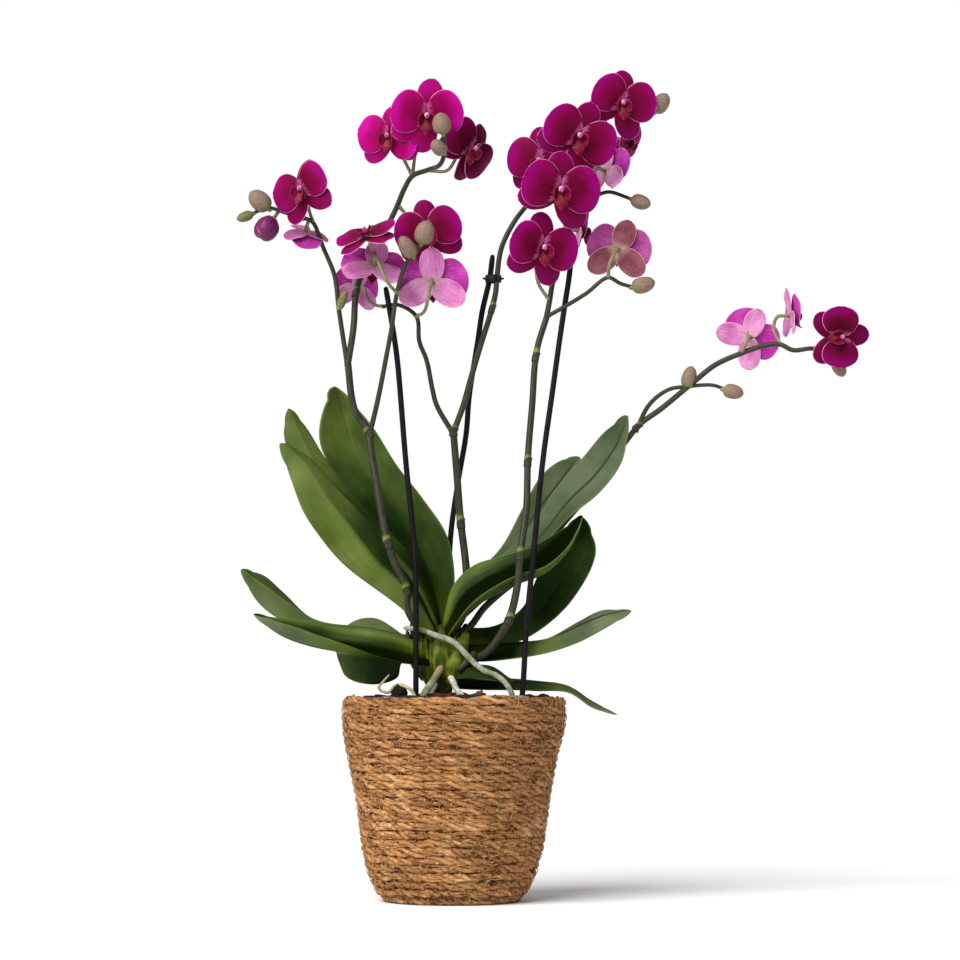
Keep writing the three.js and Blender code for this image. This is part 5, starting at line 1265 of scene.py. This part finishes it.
def plain_section(left, right, facing, fold, across, number, t):
    """A leaf that is folded along its middle and rippled along its edges."""
    width = np.linalg.norm(right - left, axis=1)[:, None]
    rise = (1 - np.abs(across) ** 1.35) * (fold * np.minimum(1, width / FULL_FOLD_WIDTH))
    crease = 0.5 * np.exp(-(across / 0.06) ** 2) * np.sign(fold) * np.minimum(1, width / 12)
    ripple = np.sin(t * 13 + number)[:, None] * across ** 4 * np.minimum(1, width / 20)
    share = ((across + 1) / 2)[None, :, None]
    lift = rise + crease + 0.5 * ripple
    return left[:, None] * (1 - share) + right[:, None] * share + facing[:, None] * lift[..., None]


def flap_section(left, right, facing, flap, across, t):
    """A leaf that is folded over, so that both its halves lie to one side of its midrib."""
    edge, fall, towards_tip = flap[:3]
    keel, far = (left, right) if edge == "left" else (right, left)
    swing = np.sin(np.pi * np.clip(t, 0, 1) ** towards_tip)[:, None]
    near = keel + np.array(fall) * swing
    u = np.abs(across)[None, :, None]
    bulge = np.sin(np.pi * u) * swing[:, None]
    far_half = keel[:, None] + (far - keel)[:, None] * u - facing[:, None] * 3.5 * bulge
    near_half = keel[:, None] + (near - keel)[:, None] * u + np.array([0, -1.5, 0]) * bulge
    return np.where(across[None, :, None] < 0, far_half, near_half)


def make_leaf(name, leaf, number):
    fold, left, right = leaf
    t = 1 - (1 - np.linspace(0, 0.9995, LEAF_ROWS)) ** 1.3
    across = np.linspace(-1, 1, LEAF_COLUMNS)
    left, right = leaf_edges(left, right, t)
    facing = unit(np.cross(right - left, heading((left + right) / 2)))
    facing = np.where(facing[:, 1:2] > 0, -facing, facing)
    facing = facing[np.minimum(np.arange(LEAF_ROWS), int(0.8 * LEAF_ROWS))]  # steady towards the tip
    if name in FLAPS:
        grid = flap_section(left, right, facing, FLAPS[name], across, t)
    else:
        grid = plain_section(left, right, facing, fold, across, number, t)
    width = np.linalg.norm(right - left, axis=1)[:, None]
    thickness = LEAF_THICKNESS * (0.5 + 0.5 * (1 - across ** 4)) * np.minimum(1, 0.35 + width / 14)
    shape = Shape()
    two_faced(shape, grid, thickness, grid_marks(grid, t[:, None], across))
    # The look, with its painted light and shade, goes with the face that is turned to the front
    first_is_front = np.mean(grid_normals(grid[:, : LEAF_COLUMNS // 2])[..., 1]) < 0
    left_look, right_look, back = (along(stops, t)[:, None] for stops in LEAF_LOOKS[name])
    to_the_right = 0.5 + 0.5 * np.tanh(12 * across)
    front = left_look * (1 - to_the_right) + right_look * to_the_right
    back = back + 0 * front
    if name in FLAPS:
        # Painted shade in the fold: the far half darkens towards the midrib, and the face of the near half
        # that is turned into the fold is painted deep shade (-1)
        painted_trough_shade, fading = FLAPS[name][3:]
        front = np.where(across < 0, front - painted_trough_shade * (1 - np.abs(across)) ** fading, -1)
    looks = [np.clip(look, -1, 3).ravel() for look in (front, back)]
    shape.marks[0][:, 3] = np.concatenate(looks if first_is_front else looks[::-1])
    shape.build(name + "_blade", name, ["leaf"])


# Blooms

PETAL = {
    "length": 0.47, "width": 0.56, "level": 0.8, "bend": 0.12, "widest": 0.55, "base": 0.28, "round": 2.3,
}
SEPAL = {
    "length": 0.46, "width": 0.33, "level": -0.8, "bend": -0.15, "widest": 0.5, "base": 0.35, "round": 2.4,
}
LATERAL = {**SEPAL, "length": 0.5, "width": 0.35}
TEPALS = [PETAL, SEPAL, PETAL, LATERAL, LATERAL]  # in the order of a bloom's angles
LIP_SCALE = 0.88
LIP_ROWS = [  # half width, up, and out of the face
    (1.3, -0.6, 1.8), (1.8, -2.2, 3.2), (2.2, -4.0, 4.6), (3.2, -5.8, 5.8), (4.4, -7.4, 6.8),
    (4.4, -9.0, 7.4), (3.4, -10.6, 7.6), (2.2, -12.0, 7.9), (1.1, -13.2, 8.8), (0.3, -13.8, 9.8),
]
SIDE_LOBE = [(1.0, -1.3, 2.0), (2.7, -1.7, 3.4), (4.5, -2.0, 5.2), (6.0, -2.2, 7.0), (6.8, -2.2, 8.4)]
SIDE_LOBE_WIDTH = 5.0
LIP_THICKNESS = 0.6
SIDE_LOBE_THICKNESS = 0.55
COLUMN = [(0, 0, 0.4), (0, 0.5, 3.0), (0, 1.4, 5.4), (0, 2.0, 7.2)]
COLUMN_RADII = [2.3, 2.1, 1.95, 1.85, 1.85, 1.95, 2.0, 1.75, 1.2]
OPENING_LENGTH = 16
OPENING_RADIUS = 6.8
OPENING_SPREAD = 3


def outline(kind, share):
    """Half width of a tepal at a share of its length, against the widest."""
    base, widest = kind["base"], kind["widest"]
    swell = base + (1 - base) * np.sin(np.pi / 2 * np.clip(share / widest, 0, 1)) ** 0.72
    close = np.clip((share - widest) / (1 - widest), 0, 1)
    return np.where(share < widest, swell, np.sqrt(np.maximum(1 - close ** kind["round"], 0)))


def add_tepal(shape, kind, angle, bloom, dice):
    """A petal or sepal on the bloom's own frame: x right, y up, z out of its face."""
    span = BLOOM_SPAN * bloom.size
    length = kind["length"] * span * dice.uniform(0.97, 1.03)
    half = kind["width"] * span / 2
    angle = math.radians(angle + dice.uniform(-2.5, 2.5))
    out = np.array([math.cos(angle), math.sin(angle), 0])
    side = np.array([-math.sin(angle), math.cos(angle), 0])
    share = 0.04 + 0.9598 * np.sin(np.linspace(0, np.pi / 2, TEPAL_ROWS))[:, None] ** 1.15
    across = np.linspace(-1, 1, TEPAL_COLUMNS)
    curl = kind["bend"] + bloom.bend + dice.uniform(-0.08, 0.08)
    reach = length * np.sin(curl * share) / curl
    rise = length * (1 - np.cos(curl * share)) / curl
    wide = outline(kind, share)
    lateral = across * wide * half
    phase = dice.uniform(0, 6.28)
    ruffle = 0.7 * np.sin(5 * lateral / half + 4 * share + phase) * across ** 2 * share
    cup = 1.1 * np.sin(np.pi * share) * (1 - across ** 2) * (0.5 + 0.5 * wide)
    rib = -0.35 * np.exp(-(across / 0.07) ** 2) * (1 - share)
    lift = kind["level"] + rise - EDGE_DROOP * (lateral / half) ** 2 * share
    lift = lift + (ruffle + cup + rib) * bloom.size
    grid = out * reach[..., None] + side * lateral[..., None] + np.array([0, 0, 1.0]) * lift[..., None]
    # The distance to the rim, measured on the flat tepal
    flat = np.stack([share * length + 0 * lateral, lateral], axis=-1)
    rim_share = np.linspace(0.12, 1, 60)
    rim_half = outline(kind, rim_share) * half
    rim = np.vstack([np.stack([rim_share * length, sign * rim_half], axis=1) for sign in (-1, 1)])
    margin = np.min(np.linalg.norm(flat[:, :, None] - rim[None, None], axis=-1), axis=2)
    marks = grid_marks(grid, share, across, 0 if kind is PETAL else 2, margin)
    two_faced(shape, grid, TEPAL_THICKNESS * (0.55 + 0.45 * np.minimum(margin / 3, 1)), marks)


def add_lip(shape, k):
    """The three-lobed lip: a speckled middle lobe that hangs forward, two lobes that stand up beside
    the column, and the callus between them."""
    t, across = sheet(20, 9)
    half, up, out = spline(np.array(LIP_ROWS) * k, t[:, 0]).T[..., None]
    x = half * across
    z = out - (1.6 * k) * across ** 2 * np.sin(np.pi * t)
    grid = np.stack([x, up + 0 * x, z], axis=-1)
    two_faced(shape, grid, LIP_THICKNESS, grid_marks(grid, 0.7 * t, across), kind=1)
    t, across = sheet(11, 9)
    wide = SIDE_LOBE_WIDTH * np.sqrt(np.clip(np.sin(np.pi * np.clip(0.1 + 0.9 * t, 0, 1)), 0, 1)) + 0.1
    reach = wide * across
    spread = [-0.9 * across ** 2 + 0.3 + 0 * reach, 0.97 * reach, 1.2 * across ** 2 + 0 * reach]
    lobe = spline(np.array(SIDE_LOBE), t[:, 0])[:, None] + np.stack(spread, axis=-1)
    marks = grid_marks(lobe, 0.45 + 0.4 * t, across)
    for sign in (-1, 1):
        ear = lobe * k * np.array([sign, 1, 1])
        two_faced(shape, ear if sign > 0 else ear[:, ::-1], SIDE_LOBE_THICKNESS, marks, kind=1)
        base, tip = np.array([(sign * 0.7, -2.8, 3.4), (sign * 0.6, -0.6, 5.6)]) * k
        egg(shape, base, tip, 0.85 * k, kind=1, sides=8, bands=6)


def add_column(shape, k):
    """The column over the lip, its cap, and the neck behind the bloom."""
    path = spline(np.array(COLUMN) * k, np.linspace(0, 1, len(COLUMN_RADII)))
    tube(shape, path, np.array(COLUMN_RADII) * k, 12, kind=2)
    base, tip = np.array([(0, -0.9, 6.0), (0, 3.0, 8.2)]) * k
    egg(shape, base, tip, 1.5 * k, tone=1, kind=2, sides=12, bands=8)
    neck = [(0, 0, 0.6), (0, 0, -1.5), (0, 0, -3), (0, 0, -NECK_LENGTH - 0.3)]
    tube(shape, neck, [2.4 * k, 2.0 * k, 1.45, 1.25], 12, kind=3)


def bloom_frame(bloom):
    """The columns are the bloom's right, up and front, and then its place."""
    front = unit(bloom.faces)
    right = unit(np.cross(bloom.top, front))
    return np.stack([right, np.cross(front, right), front], axis=1), seen(bloom.at)


def add_opening(shape):
    """A bud that opens: its neck and three sepals that come apart."""
    tube(shape, [(0, 0, -NECK_LENGTH), (0, 0, -1), (0, 0, 2)], [1.3, 1.8, 2.6], 12, kind=1)
    for angle in map(math.radians, (90, 210, 330)):
        x, y = OPENING_SPREAD * math.cos(angle), OPENING_SPREAD * math.sin(angle)
        base, tip = (x / 3, y / 3, -1), (x, y, OPENING_LENGTH)
        egg(shape, base, tip, OPENING_RADIUS, seams=1, sides=20, bands=16, twist=angle)


def make_bloom(name, bloom):
    shape = Shape()
    if bloom.look == "opening":
        add_opening(shape)
        looks = ["opening", "stalk"]
    else:
        dice = random.Random(name)
        for kind, angle in zip(TEPALS, bloom.angles):
            add_tepal(shape, kind, angle, bloom, dice)
        add_lip(shape, LIP_SCALE * bloom.size)
        add_column(shape, LIP_SCALE * bloom.size)
        looks = [bloom.look, "lip", "column", "stalk"]
    turn, place = bloom_frame(bloom)
    shape.points = [points @ turn.T + place for points in shape.points]
    shape.build(name + "_tepals", name, looks)


# Spikes


def node_tone(path, nodes):
    """1 at a node and 0 away from it."""
    gaps = np.min([np.linalg.norm(path - place, axis=1) for place in nodes], axis=0)
    return np.exp(-(gaps / NODE_REACH) ** 2)


def add_sheath(shape, top, ahead, radius):
    """A short bract that clasps the stem below a node, with a free point on one side."""
    u, v = sheet(9, 11)
    side = unit(np.cross(ahead, [0, 1.0, 0]))
    other = np.cross(ahead, side)
    angle = v * np.pi * (0.98 - 0.7 * u ** 2) + 2.4
    reach = radius + 0.1 + 0.4 * u ** 4
    grid = top + ahead * ((u - 0.95) * SHEATH_LENGTH)[..., None]
    grid = grid + (side * np.cos(angle)[..., None] + other * np.sin(angle)[..., None]) * reach[..., None]
    tone = 0.25 * np.abs(v) ** 8 + 0.3 * u ** 5
    sheath = Shape()
    two_faced(sheath, grid, 0.25, grid_marks(grid, u * SHEATH_LENGTH, v, 0, tone))
    shape.add(sheath.points[0], sheath.marks[0] * [1, 1, 0, 1], sheath.faces)


def add_bud(shape, base, tip, radius, twist):
    """A closed bud on its short foot, greener where it is small."""
    young = np.interp(radius, [3.7, 4.8], [0.9, 0.1])
    egg(shape, base, tip, radius, tone=young, kind=2, twist=twist)
    ahead = unit(tip - base)
    tube(shape, [base - ahead * 1.5, base, base + ahead * 2], [1.2, 1.7, 2.4], 10, kind=1)


def add_stalk(shape, bloom):
    turn, place = bloom_frame(bloom)
    end = place + turn[:, 2] * (-NECK_LENGTH + 0.2)
    behind = place + turn[:, 2] * (-NECK_LENGTH - 5)
    path, t = route([*seen(bloom.stalk), behind, end], 1.2)
    radii = STALK_RADIUS * (1 + 0.35 * np.exp(-(t / 0.08) ** 2) + 0.12 * t)
    tube(shape, path, radii, 10, tone=0.4 * t, kind=1)


def make_spike(name, spike):
    shape = Shape()
    arms, nodes, buds = spike
    nodes = seen(nodes)
    for stops, places in arms:
        path, t = route(seen(places), 2.0)
        tone = node_tone(path, nodes)
        radii = along(stops, t) * (1 + 0.1 * tone)
        tube(shape, path, radii, STEM_SIDES, tone=tone)
        for place in nodes:
            gaps = np.linalg.norm(path - place, axis=1)
            nearest = int(np.argmin(gaps))
            if gaps[nearest] < 2.5:
                add_sheath(shape, path[nearest], heading(path)[nearest], radii[nearest])
    for base, tip, radius in buds:
        add_bud(shape, seen(base), seen(tip), radius, len(name) + radius)
    for bloom in BLOOMS.values():
        if bloom.spike == name:
            add_stalk(shape, bloom)
    shape.build(name + "_stem", name, ["spike", "stalk", "bud"])


# Floor, light and camera

AMBIENT = 0.4
KEY_FROM = (-0.5, -0.66, 0.66)
KEY_STRENGTH = 4.2
KEY_SOFTNESS = 50
CAMERA_PLACE = (0.0184, -2.0, 0.140)  # in metres
CAMERA_PITCH = 94.124
CAMERA_LENS = 110.55
CAMERA_SENSOR = 36
FLOOR_REACH = 60  # in metres


def add_floor():
    mesh = bpy.data.meshes.new("floor")
    corners = [(x * FLOOR_REACH, y * FLOOR_REACH, 0) for x, y in ((-1, -1), (1, -1), (1, 1), (-1, 1))]
    mesh.from_pydata(corners, [], [(0, 1, 2, 3)])
    mesh.materials.append(floor_material())
    floor = add_object("floor", mesh)


def add_sun():
    light = bpy.data.lights.new("key", "SUN")
    light.energy = KEY_STRENGTH
    light.angle = math.radians(KEY_SOFTNESS)
    lamp = add_object("key", light)
    lamp.rotation_euler = Vector(KEY_FROM).to_track_quat("Z", "Y").to_euler()


def add_world():
    """A white surround that shines less on the plant than it shows, so that shadows stay deep."""
    world = bpy.data.worlds.new("studio")
    world.use_nodes = True
    tree = world.node_tree
    seen_directly = tree.nodes.new("ShaderNodeLightPath").outputs["Is Camera Ray"]
    strength = tree.nodes.new("ShaderNodeMapRange")
    strength.inputs["To Min"].default_value = AMBIENT
    tree.links.new(seen_directly, strength.inputs["Value"])
    tree.links.new(strength.outputs[0], tree.nodes["Background"].inputs["Strength"])
    tree.nodes["Background"].inputs["Color"].default_value = (1, 1, 1, 1)
    bpy.context.scene.world = world


def add_camera():
    data = bpy.data.cameras.new("camera")
    data.lens = CAMERA_LENS
    data.sensor_width = CAMERA_SENSOR
    data.clip_end = 30
    camera = add_object("camera", data)
    camera.location = CAMERA_PLACE
    camera.rotation_euler = (math.radians(CAMERA_PITCH), 0, 0)
    bpy.context.scene.camera = camera


# Making

make_basket()
make_liner()
make_pot()
make_bark()
make_stakes()
make_clip()
make_crown()
make_roots()
for number, (name, leaf) in enumerate(LEAVES.items()):
    make_leaf(name, leaf, number)
for name, bloom in BLOOMS.items():
    make_bloom(name, bloom)
for name, spike in SPIKES.items():
    make_spike(name, spike)
add_floor()
add_world()
add_sun()
add_camera()
bpy.context.scene.view_settings.view_transform = "Standard"
